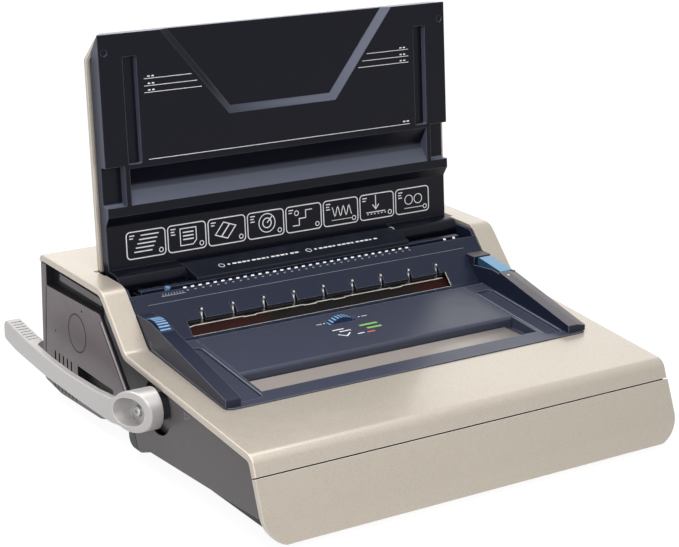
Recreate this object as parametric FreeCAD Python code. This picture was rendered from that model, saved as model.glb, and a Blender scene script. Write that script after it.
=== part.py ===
import FreeCAD, Part
import math
import os
from FreeCAD import Vector

# A desk machine that punches a row of round holes and closes wire spines with a hand lever.
# Millimetres, Z up, X across the machine to the right, Y to the rear, front of the machine at -Y.
# Every function works in a frame whose X = 0 is the middle of the casing and whose Z = 0 is the table.
# write_parts() then moves all pieces so that the origin is at the middle of the whole footprint.

# Casing
CASE_HALF = 232.0
REAR_Y = 203.0
REAR_LIP_Z = 141.5
REAR_TOP_Z = 148.7
CREST_Y = 64.8
CREST_Z = 149.4
VALLEY_Y = 16.9
VALLEY_Z = 100.2
NOSE_Y = -214.6
NOSE_Z = 82.6
PANEL_LINE_Y = -221.5
PANEL_LINE_Z = 66.0
REAR_BEND = 6.0
CREST_BEND = 20.0
VALLEY_BEND = 12.0
NOSE_BEND = 12.0
SHELL_T = 2.6
LIP_DEPTH = 5.8
LIP_T = 2.4
LIP_ROUND = 2.0
OPENING_HALF = CASE_HALF - 25.3
OPENING_FRONT_Y = -130.3
OPENING_REAR_Y = 123.0
OPENING_CORNER = 9.0
OPENING_LIP_T = 2.0
LID_STEP_OUT = 4.3
LID_STEP_LENGTH = 19.0
LID_STEP_DEPTH = 1.4

# Front fascia
FASCIA_GAP = 1.2
FASCIA_WAIST_Y = -236.5
FASCIA_WAIST_Z = 29.9
FASCIA_FOOT_Y = -242.0
FASCIA_FOOT_Z = 8.0
FASCIA_WAIST_BEND = 80.0
FASCIA_CORNER = 27.0
FASCIA_T = 2.6
FASCIA_RIM = 3.4

# Base
BASE_Z = 12.0
BASE_T = 2.6
BASE_HALF = CASE_HALF - 40.0
BASE_FRONT_Y = -226.0
FOOT_R = 11.0
FOOT_X = BASE_HALF - 20.0
FOOT_FRONT_Y = -195.0
FOOT_REAR_Y = 178.0
FLOOR_Z = BASE_Z + BASE_T
CASE_SCREW_R = 2.0
CASE_SCREW_HEAD_R = 3.6
CASE_SCREW_HEAD_H = 2.0
CASE_SCREW_LENGTH = 9.0
CASE_SCREW_X = BASE_HALF - 42.0
CASE_SCREW_YS = (-170.0, -30.0, 140.0)
CASE_SCREW_PLACES = [(x, y) for x in (-CASE_SCREW_X, CASE_SCREW_X) for y in CASE_SCREW_YS]
BOARD_X0 = -BASE_HALF + 27.0
BOARD_X1 = -60.0
BOARD_Y0 = 126.0
BOARD_Y1 = 190.0
BOARD_Z = 24.0
BOARD_T = 1.6
BOARD_POST_IN = 6.0

# Side walls
SIDE_X = CASE_HALF - 1.4
SIDE_T = 2.2
SIDE_RIM_T = 2.2
FRAME_X = SIDE_X - 11.1
FRAME_T = 2.5
LIP_GAP = 0.6
ARCH_FRONT_Y = 11.0
ARCH_REAR_Y = 52.0
ARCH_Z = 47.0
WALL_REAR_Y = 13.8
WALL_LOW_Z = 10.8
REAR_PANEL_Y = 200.2
COVER_REAR_Y = 202.4
COVER_TOP_Z = 118.8
RECESS_TOP_Z = 140.6
RECESS_REAR_Y = 190.6
RECESS_FRONT_Y = 71.0
RECESS_T = 1.6
REAR_PANEL_T = 2.6
AIR_SLOT_COUNT = 14
AIR_SLOT_LEFT_X = -CASE_HALF + 42.0
AIR_SLOT_PITCH = 11.0
AIR_SLOT_W = 4.0
AIR_SLOT_LOW_Z = 92.0
AIR_SLOT_TOP_Z = 124.0
MID_SINK = 1.6
VENT_COUNT = 5
VENT_PITCH = 9.2
VENT_W = 3.4
VENT_FRONT_Y = 135.0
VENT_LOW_Z = 24.0
VENT_TOP_Z = 54.4
GRIP_Y0 = 44.0
GRIP_Y1 = 122.5
GRIP_Z0 = 27.0
GRIP_Z1 = 54.8

# Deck and its slots; the deck lies this far under the plane of the casing's slope
DECK_SINK = 2.0
DECK_T = 2.4
DECK_HALF = OPENING_HALF - 0.5
PAPER_SLOT_Y = 60.1
PAPER_SLOT_W = 4.4
CREASE_S = 23.0
CREASE_DIP = 0.5
CLOSING_TOP_S = 46.3
CLOSING_BOTTOM_S = 62.8
DECK_FOOT_Y = 13.4
HOOK_COUNT = 9
HOOK_MID_X = 2.6
HOOK_NOTCH_W = 4.4
HOOK_NOTCH_TOP_S = 34.6
HOOK_T = 1.8
CHEEK_X = DECK_HALF - 2.8
CHEEK_TOP_Z = 145.5
CHEEK_LOW_Z = 128.0
CHEEK_NOSE_Z = 137.0
CHEEK_FRONT_Y = 56.0
CHEEK_REAR_Y = 112.0

# Punch
HOLE_COUNT = 32
HOLE_PITCH = 25.4 / 3.0
HOLE_MID_X = -13.5
PUNCH_Z = 126.0
PUNCH_HALF = DECK_HALF - 17.2
PIN_R = 2.0
PIN_FIT = 0.08
PIN_HEAD_R = 2.8
PIN_HEAD_H = 2.0
DIE_T = 3.9
DIE_TOP_Z = 133.5
GUIDE_T = 6.0
PUNCH_LOW_Z = 115.5
THROAT_Z = 120.0
GUIDE_TOP_Z = 141.0
BAR_FRONT_Y = 86.0
BAR_REAR_Y = 98.0
BAR_TOP_Z = 129.6
BAR_LOW_Z = 106.0
PUNCH_TRAVEL = 8.0
HEAD_SEAT = 2.0
HOLDER_LOW_Z = 119.0
NOSE_R = 3.0

# Chassis plates
CHASSIS_X = BASE_HALF - 20.0
CHASSIS_T = 2.5
CHASSIS_FRONT_Y = -70.0
CHASSIS_REAR_Y = 132.0
BAR_HALF = CHASSIS_X - 0.4
CLOSING_LEFT_X = -CHASSIS_X + 16.0
CLOSING_RIGHT_X = CHASSIS_X - 21.0
HOOK_PITCH = (CLOSING_RIGHT_X - CLOSING_LEFT_X - 27.8) / (HOOK_COUNT - 1)

# Camshaft and gear train
CAM_Y = 107.4
CAM_Z = 112.0
CAM_SHAFT_R = 6.0
CAM_BASE_R = 9.0
CAM_W = 12.0
CAM_X = 95.0
GEAR_MODULE = 1.5
DRIVE_TEETH = 36
IDLER_TEETH = 24
PINION_TEETH = 12
GEAR_X = FRAME_X - 12.9
GEAR_W = 8.6
IDLER_ANGLE = -35.0
PINION_ANGLE = -50.0
GEAR_BACKLASH = 0.3
MOTOR_R = 22.0
MOTOR_LENGTH = 72.0
MOTOR_SHAFT_R = 2.5
GEAR_PLATE_X = FRAME_X - 16.9
GEAR_PLATE_T = 2.4
GEAR_PIN_R = 3.0
RUNNING_FIT = 0.06
PRESSURE_ANGLE = math.radians(20.0)
TIP_HEIGHT = 0.8
DRIVE_TO_IDLER = GEAR_MODULE * (DRIVE_TEETH + IDLER_TEETH) / 2.0
IDLER_TO_PINION = GEAR_MODULE * (IDLER_TEETH + PINION_TEETH) / 2.0
IDLER_Y = CAM_Y + DRIVE_TO_IDLER * math.cos(math.radians(IDLER_ANGLE))
IDLER_Z = CAM_Z + DRIVE_TO_IDLER * math.sin(math.radians(IDLER_ANGLE))
PINION_Y = IDLER_Y + IDLER_TO_PINION * math.cos(math.radians(PINION_ANGLE))
PINION_Z = IDLER_Z + IDLER_TO_PINION * math.sin(math.radians(PINION_ANGLE))
GEAR_END_X = GEAR_X + GEAR_W

# Tray and the bed frame round it
TRAY_HALF = DECK_HALF - 48.2
TRAY_Z = 101.6
TRAY_FALL = 0.088
TRAY_T = 2.4
TRAY_UNDER = TRAY_T * math.hypot(1.0, TRAY_FALL)
TRAY_LIP_Y = -70.3
BED_T = 5.0
BED_FRONT_Y = -129.9
CHANNEL_FRONT_Y = -110.0
CHANNEL_REAR_Y = -66.0
CHANNEL_FLOOR_Z = 84.0
CHANNEL_FLOOR_T = 2.4
TONGUE_Y = 5.0
STRIP_RIGHT_X = TRAY_HALF - 10.0
STRIP_T = 3.0
TROUGH_IN = TRAY_HALF + 5.0
TROUGH_FRONT_Y = -121.0
TROUGH_DEPTH = 2.6
PIECE_GAP = 0.6

# Wedges at both ends of the bed, on whose tops the closed lid rests
WEDGE_TOP_Z = 124.9
WEDGE_SLOPE = 0.2126
WEDGE_FRONT_Y = -127.0
WEDGE_OUT = DECK_HALF - 0.2
LEFT_WEDGE_IN = WEDGE_OUT - 16.0
TROUGH_OUT = LEFT_WEDGE_IN - 3.0
RIGHT_WEDGE_IN = WEDGE_OUT - 21.0
RIDGE_W = 11.0
LEFT_WEDGE_REAR_Y = 42.0
LEFT_WEDGE_REAR_Z = 128.0
RIGHT_WEDGE_REAR_Y = 45.0
RIGHT_WEDGE_REAR_Z = 127.0
WEDGE_WALL = 2.0

# Edge guide wheel, centre wheel, punch key
EDGE_WHEEL_R = 24.0
EDGE_WHEEL_Y = 14.0
EDGE_WHEEL_Z = 106.6
EDGE_WHEEL_W = 11.2
EDGE_AXLE_R = 2.5
GUIDE_TAB_X = -TRAY_HALF - 4.0
GUIDE_TAB_TOP_Z = 142.6
GUIDE_TAB_W = 4.0
SIZE_WHEEL_R = 20.5
SIZE_WHEEL_X = -5.5
SIZE_WHEEL_Y = -6.0
SIZE_WHEEL_Z = 85.5
SIZE_WHEEL_W = 8.0
SIZE_SPINDLE_R = 4.0
SIZE_SLOT_HALF = 16.1
KEY_FRONT_Y = -12.0
KEY_REAR_Y = 27.0
KEY_PIVOT_Y = -7.0
KEY_PIVOT_Z = 116.5
KEY_LOW_Z = 113.0
KEY_PIN_R = 1.6
LENS_X = RIGHT_WEDGE_IN + 6.0
LENS_Y = -20.0
LENS_R = 4.9
LENS_SINK = 4.4

# Lid, in its own frame: S up along the lid, D the depth behind its inner face
LID_LEAN = 5.7
LID_FOOT_Y = 101.0
LID_FOOT_Z = 158.0
LID_TOP_S = 223.6
LID_HALF = DECK_HALF - 4.3
LID_BOTTOM_S = -9.7
LID_BACK_D = 18.3
LID_SHELL_HALF = DECK_HALF + 1.3
LID_SHELL_D = 20.7
LID_SHELL_RIM_D = 15.0
LID_SHELL_BOTTOM_S = -7.0
LID_SHELL_TOP_S = 219.0
LID_SHELL_T = 2.4
LID_CORNER_X = 13.0
LID_CORNER_S = 19.0
BAND_DEPTH = 7.0
BAND_TOP_S = 38.0
BAND_STEP_S = 47.6
TROUGH_LOW_S = 57.0
TROUGH_HIGH_S = 93.0
TROUGH_DEEP_S = 76.0
TROUGH_DEEP_D = 11.0
TROUGH_HALF = LID_HALF - 26.2
POCKET_IN = LID_HALF - 20.9
POCKET_HIGH_S = 96.0
GROOVE_IN = LID_HALF - 39.9
GROOVE_OUT = LID_HALF - 25.5
GROOVE_LOW_S = 97.0
GROOVE_HIGH_S = 200.8
GROOVE_DEPTH = 6.0
CREST_HALF_TOP = 133.3
CREST_HALF_LOW = 62.7
CREST_TOP_S = 221.7
CREST_LOW_S = 134.7
CREST_BEVEL = 7.0
CREST_DEPTH = 5.0
DIMPLE_X = LID_HALF - 6.4
DIMPLE_S = 206.3
DIMPLE_R = 3.2

# Hinge
PIVOT_Y = 95.0
PIVOT_Z = 141.0
BARREL_R = 10.2
ROD_R = 3.0
BRIDGE_R = 10.4
BRIDGE_LEFT_X = -127.5
BRIDGE_RIGHT_X = 124.5
HINGE_GAP = 0.5
BARREL_END_X = LID_HALF + 0.1
BARREL_SPANS = ((-BARREL_END_X, BRIDGE_LEFT_X - HINGE_GAP), (BRIDGE_RIGHT_X + HINGE_GAP, BARREL_END_X))

# Lever and closing mechanism
HUB_Y = -45.0
HUB_Z = 69.2
HUB_R = 20.0
LEVER_OUT_X = -CASE_HALF - 38.0
LEVER_T = 17.0
HUB_IN_X = -SIDE_X - 4.2
HUB_FLOOR_X = HUB_IN_X - 14.2
HUB_POCKET_R = 13.5
HUB_POCKET_SHIFT = 3.0
LEVER_TIP_Y = 209.5
ARM_TOP = ((21.0, 9.8, 30.0), (51.6, 6.4, 60.0), (109.6, 3.8, 200.0), (155.0, 4.4, 200.0),
           (205.0, 8.4, 150.0))
ARM_LOW = ((228.0, -10.8, 90.0), (162.0, -15.2, 200.0), (76.5, -15.3, 200.0), (15.0, -14.0, 30.0))
LEVER_ARM_T = 7.0
LEVER_TIP_TOP_Z = 84.4
LEVER_TIP_LOW_Z = 63.6
PAD_FRONT_Y = 144.0
GRIP_FRONT_Y = 157.0
GRIP_PITCH = 5.6
GRIP_RIDGES = 8
GRIP_GROOVE = 2.2
GRIP_GROOVE_DEPTH = 0.9
GRIP_MARGIN = 3.0
LEVER_SCREW_R = 2.5
LEVER_SCREW_LENGTH = 11.0
FLANGE_T = 4.5
FLANGE_SCREW_R = 1.6
FLANGE_SCREWS = ((HUB_Y - 17.8, HUB_Z + 16.0), (HUB_Y - 20.6, HUB_Z - 5.6))
SHAFT_R = 5.0
SHAFT_RIGHT_X = CHASSIS_X + 6.0
BUSH_R = 8.0
ECCENTRIC_R = 12.2
ECCENTRIC_W = 5.0
ECCENTRIC_X = CHASSIS_X - 5.3
LEVER_SWEEP = 105.0
CLOSING_TRAVEL = 9.0
YOKE_GAP = 0.5
YOKE_R = 15.6
REST_ANGLE = math.radians(8.3 - LEVER_SWEEP)
THROW = CLOSING_TRAVEL / (2.0 * math.sin(math.radians(LEVER_SWEEP / 2.0)))
ARM_T = 3.0
ARM_HALF_W = 6.0
BAR_DEPTH = 5.3
BAR_T = 3.0
BAR_FIRST_S = 64.2
BAR_LAST_S = 84.0
COMB_DEPTH = 8.8
COMB_T = 2.0
COMB_TOP_S = 49.0
COMB_LOW_S = 72.0
COMB_EAR_S = 55.0
COMB_STEP = 0.7
COMB_LEFT_X = CLOSING_LEFT_X - 4.0
COMB_RIGHT_X = CLOSING_RIGHT_X + 4.0
HOOK_HALF = 0.9
BAY_R = 27.0

# Chip drawer, power parts
DRAWER_FRONT_Y = 60.0
DRAWER_REAR_Y = 118.0
DRAWER_LEFT_X = -CHASSIS_X + 22.0
DRAWER_LOW_Z = 24.0
DRAWER_TOP_Z = 46.0
DRAWER_WALL = 1.8
DRAWER_GAP = 0.8
INLET_X = 90.0
INLET_Z = 44.0
SWITCH_X = 52.0
ROCKER_Y = REAR_PANEL_Y - 3.7
ROCKER_TILT = 7.0

SLOPE_LENGTH = math.hypot(CREST_Y - VALLEY_Y, CREST_Z - VALLEY_Z)
DOWN_Y = (VALLEY_Y - CREST_Y) / SLOPE_LENGTH
DOWN_Z = (VALLEY_Z - CREST_Z) / SLOPE_LENGTH
HOOK_XS = [HOOK_MID_X + (i - (HOOK_COUNT - 1) / 2.0) * HOOK_PITCH for i in range(HOOK_COUNT)]
HOLE_XS = [HOLE_MID_X + (i - (HOLE_COUNT - 1) / 2.0) * HOLE_PITCH for i in range(HOLE_COUNT)]
ORIGIN_SHIFT = Vector(-(LEVER_OUT_X + CASE_HALF) / 2.0, -(FASCIA_FOOT_Y + LEVER_TIP_Y) / 2.0, 0)


# Outline helpers. An outline is a list of corners (y, z) or (y, z, radius).

def corner(point):
    return (point[0], point[1], point[2] if len(point) > 2 else 0.0)


def outline_edges(points, closed=True):
    """Straight edges joined by tangent arcs of each corner's own radius."""
    corners = [corner(p) for p in points]
    count = len(corners)
    starts, ends, arcs = {}, {}, []
    for i, (y, z, r) in enumerate(corners):
        here = Vector(0, y, z)
        if r <= 0 or (not closed and i in (0, count - 1)):
            starts[i] = ends[i] = here
            continue
        before = Vector(0, *corners[i - 1][:2])
        after = Vector(0, *corners[(i + 1) % count][:2])
        to_before = (before - here).normalize()
        to_after = (after - here).normalize()
        half = math.acos(max(-1.0, min(1.0, to_before.dot(to_after)))) / 2.0
        reach = r / math.tan(half)
        middle = here + (to_before + to_after).normalize() * (r / math.sin(half))
        ends[i] = here + to_before * reach
        starts[i] = here + to_after * reach
        through = middle + (here - middle).normalize() * r
        arcs.append((i, Part.Arc(ends[i], through, starts[i]).toShape()))
    arc_of = dict(arcs)
    edges = []
    for i in range(count):
        if i in arc_of:
            edges.append(arc_of[i])
        if i == count - 1 and not closed:
            break
        a, b = starts[i], ends[(i + 1) % count]
        if (b - a).Length > 1e-6:
            edges.append(Part.makeLine(a, b))
    return edges


def prism(points, x_low, x_high):
    """A YZ outline carried from x_low to x_high."""
    face = Part.Face(Part.Wire(outline_edges(points)))
    face.translate(Vector(x_low, 0, 0))
    return face.extrude(Vector(x_high - x_low, 0, 0))


def moved_path(path, distance):
    """The path moved to its left by a distance, each bend keeping its centre."""
    corners = [corner(p) for p in path]
    lefts = []
    for a, b in zip(corners, corners[1:]):
        dy, dz = b[0] - a[0], b[1] - a[1]
        length = math.hypot(dy, dz)
        lefts.append((-dz / length, dy / length))
    moved = []
    for i, (y, z, r) in enumerate(corners):
        if i in (0, len(corners) - 1):
            ny, nz = lefts[0] if i == 0 else lefts[-1]
            moved.append((y + ny * distance, z + nz * distance, 0.0))
            continue
        (ay, az), (by, bz) = lefts[i - 1], lefts[i]
        scale = distance / (1.0 + ay * by + az * bz)
        turn = ay * bz - az * by
        new_r = max(r - distance if turn > 0 else r + distance, 0.0) if r > 0 else 0.0
        moved.append((y + (ay + by) * scale, z + (az + bz) * scale, new_r))
    return moved


def band(path, near, far):
    """The closed outline between the path moved by near and by far."""
    return moved_path(path, near) + moved_path(path, far)[::-1]


def box(x0, x1, y0, y1, z0, z1):
    return Part.makeBox(x1 - x0, y1 - y0, z1 - z0, Vector(x0, y0, z0))


def rod_x(x0, x1, y, z, r):
    return Part.makeCylinder(r, x1 - x0, Vector(x0, y, z), Vector(1, 0, 0))


def rod_y(x, z, y0, y1, r):
    return Part.makeCylinder(r, y1 - y0, Vector(x, y0, z), Vector(0, 1, 0))


def rod_z(x, y, z0, z1, r):
    return Part.makeCylinder(r, z1 - z0, Vector(x, y, z0), Vector(0, 0, 1))


def ring_x(x0, x1, y, z, r_in, r_out):
    return rod_x(x0, x1, y, z, r_out).cut(rod_x(x0 - 1, x1 + 1, y, z, r_in))


def fused(shapes):
    shape = shapes[0].multiFuse(shapes[1:]) if len(shapes) > 1 else shapes[0]
    return shape.removeSplitter()


def mirrored(shape):
    return shape.mirror(Vector(0, 0, 0), Vector(1, 0, 0))


def edges_where(shape, test):
    return [e for e in shape.Edges if test(e)]


def plan_prism(points, z_low, z_high):
    """An XY outline of (x, y, radius) corners carried from z_low to z_high."""
    shape = prism(points, z_low, z_high)
    shape.rotate(Vector(0, 0, 0), Vector(1, 1, 1), -120)
    return shape


def front_prism(points, y_low, y_high):
    """An XZ outline of (x, z, radius) corners carried from y_low to y_high."""
    shape = prism(points, -y_high, -y_low)
    shape.rotate(Vector(0, 0, 0), Vector(0, 0, 1), -90)
    return shape


def slope(s, n=0.0):
    """The (y, z) of a point s down the casing's slope from the crest and n under its plane."""
    return (CREST_Y + s * DOWN_Y - n * DOWN_Z, CREST_Z + s * DOWN_Z + n * DOWN_Y)


def slope_prism(points, x_low, x_high):
    """A prism of an outline given in the slope's own (s, n, radius) corners."""
    return prism([slope(p[0], p[1]) + tuple(p[2:]) for p in points], x_low, x_high)


def tray_top(y, under=0.0):
    return TRAY_Z + TRAY_FALL * y - under


def tray_prism(y_low, y_high, under_low, under_high, x_low, x_high):
    """A slab that follows the tray's plane between two depths under it."""
    return prism([(y_low, tray_top(y_low, under_low)), (y_high, tray_top(y_high, under_low)),
                  (y_high, tray_top(y_high, under_high)), (y_low, tray_top(y_low, under_high))],
                 x_low, x_high)


# Casing

def shell_path():
    return [(REAR_Y, REAR_LIP_Z), (REAR_Y, REAR_TOP_Z, REAR_BEND), (CREST_Y, CREST_Z, CREST_BEND),
            (VALLEY_Y, VALLEY_Z, VALLEY_BEND), (NOSE_Y, NOSE_Z, NOSE_BEND),
            (PANEL_LINE_Y, PANEL_LINE_Z)]


def top_shell():
    """Bent sheet over the whole top with rolled side lips and the big opening for the bed."""
    shell = prism(band(shell_path(), 0, LIP_DEPTH), -CASE_HALF, CASE_HALF)
    outer = outline_edges(shell_path(), closed=False)
    middles = [e.valueAt((e.FirstParameter + e.LastParameter) / 2.0) for e in outer]

    def on_outer_side(edge):
        m = edge.valueAt((edge.FirstParameter + edge.LastParameter) / 2.0)
        if abs(abs(m.x) - CASE_HALF) > 1e-3:
            return False
        return any(math.hypot(m.y - o.y, m.z - o.z) < 1e-3 for o in middles)

    shell = shell.makeFillet(LIP_ROUND, edges_where(shell, on_outer_side))
    hollow = band(shell_path(), SHELL_T, LIP_DEPTH + 1)
    lip_in = CASE_HALF - LIP_T
    rib_out = OPENING_HALF + OPENING_LIP_T
    spans = [(-lip_in, -rib_out), (-OPENING_HALF, OPENING_HALF), (rib_out, lip_in)]
    cuts = [prism(hollow, a, b) for a, b in spans]
    cuts.append(plan_prism([(-OPENING_HALF, OPENING_FRONT_Y, OPENING_CORNER),
                            (OPENING_HALF, OPENING_FRONT_Y, OPENING_CORNER),
                            (OPENING_HALF, OPENING_REAR_Y, 2.0),
                            (-OPENING_HALF, OPENING_REAR_Y, 2.0)], NOSE_Z, CREST_Z + 1))
    for side in (-1, 1):
        step_x = sorted([side * (OPENING_HALF - 1), side * (OPENING_HALF + LID_STEP_OUT)])
        cuts.append(box(step_x[0], step_x[1], OPENING_REAR_Y - LID_STEP_LENGTH, OPENING_REAR_Y,
                        CREST_Z - LID_STEP_DEPTH, CREST_Z + 1))
    return shell.cut(Part.makeCompound(cuts))


def fascia_path():
    drop = FASCIA_GAP / math.hypot(PANEL_LINE_Y - FASCIA_WAIST_Y, PANEL_LINE_Z - FASCIA_WAIST_Z)
    top_y = PANEL_LINE_Y + (FASCIA_WAIST_Y - PANEL_LINE_Y) * drop
    top_z = PANEL_LINE_Z + (FASCIA_WAIST_Z - PANEL_LINE_Z) * drop
    return [(top_y, top_z), (FASCIA_WAIST_Y, FASCIA_WAIST_Z, FASCIA_WAIST_BEND),
            (FASCIA_FOOT_Y, FASCIA_FOOT_Z)]


def front_fascia():
    """Front panel pressed as a shallow pan, with a foot that runs back under the base."""
    def view(inset):
        half = CASE_HALF - inset
        low = FASCIA_FOOT_Z - 1 + inset
        return front_prism([(-half, low, FASCIA_CORNER - inset), (half, low, FASCIA_CORNER - inset),
                            (half, PANEL_LINE_Z + 5), (-half, PANEL_LINE_Z + 5)],
                           FASCIA_FOOT_Y - 5, PANEL_LINE_Y + 20)
    depth = FASCIA_T + FASCIA_RIM
    pan = prism(band(fascia_path(), 0, depth), -CASE_HALF, CASE_HALF).common(view(0.0))
    hollow = prism(band(fascia_path(), FASCIA_T, depth + 1), -CASE_HALF, CASE_HALF)
    pan = pan.cut(hollow.common(view(FASCIA_T)))
    foot_half = CASE_HALF - FASCIA_CORNER - FASCIA_T
    foot_front = FASCIA_FOOT_Y + FASCIA_T
    foot = box(-foot_half, foot_half, foot_front, BASE_FRONT_Y + 10, BASE_Z - FASCIA_T, BASE_Z)
    return fused([pan, foot])


def base_pan():
    """Flat steel base with runners for the chip drawer and posts for the circuit board."""
    parts = [box(-BASE_HALF, BASE_HALF, BASE_FRONT_Y, REAR_PANEL_Y - REAR_PANEL_T, BASE_Z, FLOOR_Z)]
    for y in (DRAWER_FRONT_Y + 6, DRAWER_REAR_Y - 9):
        parts.append(box(DRAWER_LEFT_X, CHASSIS_X, y, y + 3, FLOOR_Z, DRAWER_LOW_Z - 0.3))
    for x in (BOARD_X0 + BOARD_POST_IN, BOARD_X1 - BOARD_POST_IN):
        for y in (BOARD_Y0 + BOARD_POST_IN, BOARD_Y1 - BOARD_POST_IN):
            parts.append(rod_z(x, y, FLOOR_Z, BOARD_Z, 3.0))
    pan = fused(parts)
    holes = [rod_z(x, y, BASE_Z - 1, BASE_Z + CASE_SCREW_LENGTH, CASE_SCREW_R)
             for x, y in CASE_SCREW_PLACES]
    return pan.cut(Part.makeCompound(holes))


def base_screws():
    screws = []
    for x, y in CASE_SCREW_PLACES:
        head = rod_z(x, y, BASE_Z - CASE_SCREW_HEAD_H, BASE_Z, CASE_SCREW_HEAD_R)
        head = head.makeFillet(0.8, edges_where(head, lambda e: e.BoundBox.ZMax < BASE_Z - 1))
        slot = box(x - 2.4, x + 2.4, y - 0.5, y + 0.5, BASE_Z - CASE_SCREW_HEAD_H - 1,
                   BASE_Z - CASE_SCREW_HEAD_H + 1)
        shank = rod_z(x, y, BASE_Z, BASE_Z + CASE_SCREW_LENGTH - 1, CASE_SCREW_R)
        screws.append(fused([head, shank]).cut(slot))
    return screws


def feet():
    pads = []
    for x in (-FOOT_X, FOOT_X):
        for y in (FOOT_FRONT_Y, FOOT_REAR_Y):
            pad = rod_z(x, y, 0, BASE_Z, FOOT_R)
            pads.append(pad.makeChamfer(1.2, edges_where(pad, lambda e: e.BoundBox.ZMax < 0.1)))
    return Part.makeCompound(pads)


# Sides. Each is built on the left, and mirrored for the right.

def side_pan(outline):
    """A moulded side piece: an outer sheet with a rim that reaches in to the side frame."""
    skin = prism(outline, -SIDE_X, -FRAME_X)
    face = Part.Face(Part.Wire(outline_edges(outline)))
    inner = face.makeOffset2D(-SIDE_RIM_T)
    inner.translate(Vector(-SIDE_X + SIDE_T, 0, 0))
    pan = skin.cut(inner.extrude(Vector(SIDE_X - SIDE_T - FRAME_X + 1, 0, 0)))
    front = edges_where(pan, lambda e: abs(e.BoundBox.XMax + SIDE_X) < 1e-3)
    return pan.makeFillet(0.8, front)


def under_lip(y):
    """Height just under the casing's side lip above a place on the front slope or the rear top."""
    fall = (VALLEY_Z - NOSE_Z) / (VALLEY_Y - NOSE_Y)
    return VALLEY_Z + (y - VALLEY_Y) * fall - LIP_DEPTH - LIP_GAP


def front_wall(with_bay):
    seam_y = HUB_Y + 6.5
    bay_y = BAY_R + HUB_Y - 0.6
    waist_y, waist_z, _ = moved_path(fascia_path(), FASCIA_T + FASCIA_RIM + PIECE_GAP)[1]
    outline = [(seam_y, under_lip(seam_y), 1.0), (NOSE_Y + 5.3, under_lip(NOSE_Y + 5.3), 3.0),
               (waist_y, waist_z + 1.5, 5.0), (-29.6, 18.1, 10.0), (-11.0, WALL_LOW_Z, 12.0),
               (WALL_REAR_Y, WALL_LOW_Z, 11.0), (WALL_REAR_Y, 32.0, 3.0), (bay_y, 38.0, 4.0),
               (bay_y, HUB_Z, 1.0), (seam_y, HUB_Z, 1.0)]
    seam = [(2.6, 34.0), (0.6, 27.0, 10.0), (-6.4, WALL_LOW_Z)]
    wall = side_pan(outline).cut(prism(band(seam, 0, 0.9), -SIDE_X - 1, -SIDE_X + 0.6))
    if with_bay:
        wall = wall.cut(rod_x(-SIDE_X - 1, -FRAME_X + 0.1, HUB_Y, HUB_Z, BAY_R))
    return wall


def mid_panel(with_bay):
    """Side surface between the front wall and the rear cover, up along the slope."""
    seam_y = HUB_Y + 6.5 + PIECE_GAP
    bay_y = BAY_R + HUB_Y
    low = moved_path(shell_path(), LIP_DEPTH + LIP_GAP)
    outline = [(seam_y, under_lip(seam_y)), (seam_y, HUB_Z + PIECE_GAP), (bay_y, HUB_Z + PIECE_GAP),
               (bay_y, 46.0, 5.0), (-6.0, 43.0, 8.0), (10.2, 64.4, 6.0), (63.0, 121.4, 5.0),
               slope(9.5, LIP_DEPTH + LIP_GAP), low[3]]
    panel = prism(outline, -SIDE_X + MID_SINK, -FRAME_X)
    slot = prism([(-28.0, 90.1), (6.0, 91.2), (6.0, 92.3), (-28.0, 91.2)], -SIDE_X,
                 -SIDE_X + MID_SINK + 1.0)
    panel = panel.cut(slot)
    if with_bay:
        panel = panel.cut(rod_x(-SIDE_X - 1, -FRAME_X + 1, HUB_Y, HUB_Z, BAY_R + PIECE_GAP))
    return panel


def rear_cover_outline():
    return [(COVER_REAR_Y, 16.5, 8.0), (COVER_REAR_Y, RECESS_TOP_Z), (RECESS_REAR_Y, RECESS_TOP_Z),
            (RECESS_REAR_Y, COVER_TOP_Z, 1.0), (RECESS_FRONT_Y, 123.4, 9.0), (13.5, 61.5, 8.0),
            (42.0, 25.0, 10.0), (73.0, 15.5, 20.0), (162.0, 11.5, 30.0)]


def rear_cover(holes):
    recess = box(-FRAME_X - RECESS_T, -FRAME_X, RECESS_FRONT_Y, RECESS_REAR_Y + 1,
                 COVER_TOP_Z - 1.3, RECESS_TOP_Z)
    pan = side_pan(rear_cover_outline()).fuse(recess)
    groove_ring = ring_x(-SIDE_X - 1, -SIDE_X + 0.6, 121.3, 88.8, 18.7, 19.6)
    dimples = [rod_x(-SIDE_X - 1, -SIDE_X + 0.8, y, z, 1.5) for y, z in ((110.0, 114.5), (171.0, 76.0))]
    return pan.cut(Part.makeCompound([groove_ring] + dimples + holes))


def vent_slots():
    slots = []
    for i in range(VENT_COUNT):
        y = VENT_FRONT_Y + i * VENT_PITCH
        slots.append(prism([(y, VENT_LOW_Z, 1.2), (y + VENT_W, VENT_LOW_Z, 1.2),
                            (y + VENT_W, VENT_TOP_Z, 1.2), (y, VENT_TOP_Z, 1.2)],
                           -SIDE_X - 1, -FRAME_X))
    return slots


def left_rear_cover():
    """Rear side cover with a carrying grip, crossed by thin ribs low down, and vents."""
    grip = prism([(GRIP_Y0, GRIP_Z1, 2.0), (GRIP_Y0 + 4, GRIP_Z0, 6.0), (GRIP_Y1, GRIP_Z0, 4.0),
                  (GRIP_Y1, GRIP_Z1, 2.0)], -SIDE_X - 1, -FRAME_X)
    cover = rear_cover([grip] + vent_slots())
    ribs = []
    count = 7
    for i in range(count):
        y = GRIP_Y0 + 10 + i * (GRIP_Y1 - GRIP_Y0 - 16) / (count - 1)
        ribs.append(box(-SIDE_X + 0.8, -SIDE_X + SIDE_T, y, y + 2.0, GRIP_Z0 - 1, GRIP_Z0 + 12))
    return fused([cover] + ribs)


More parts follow.
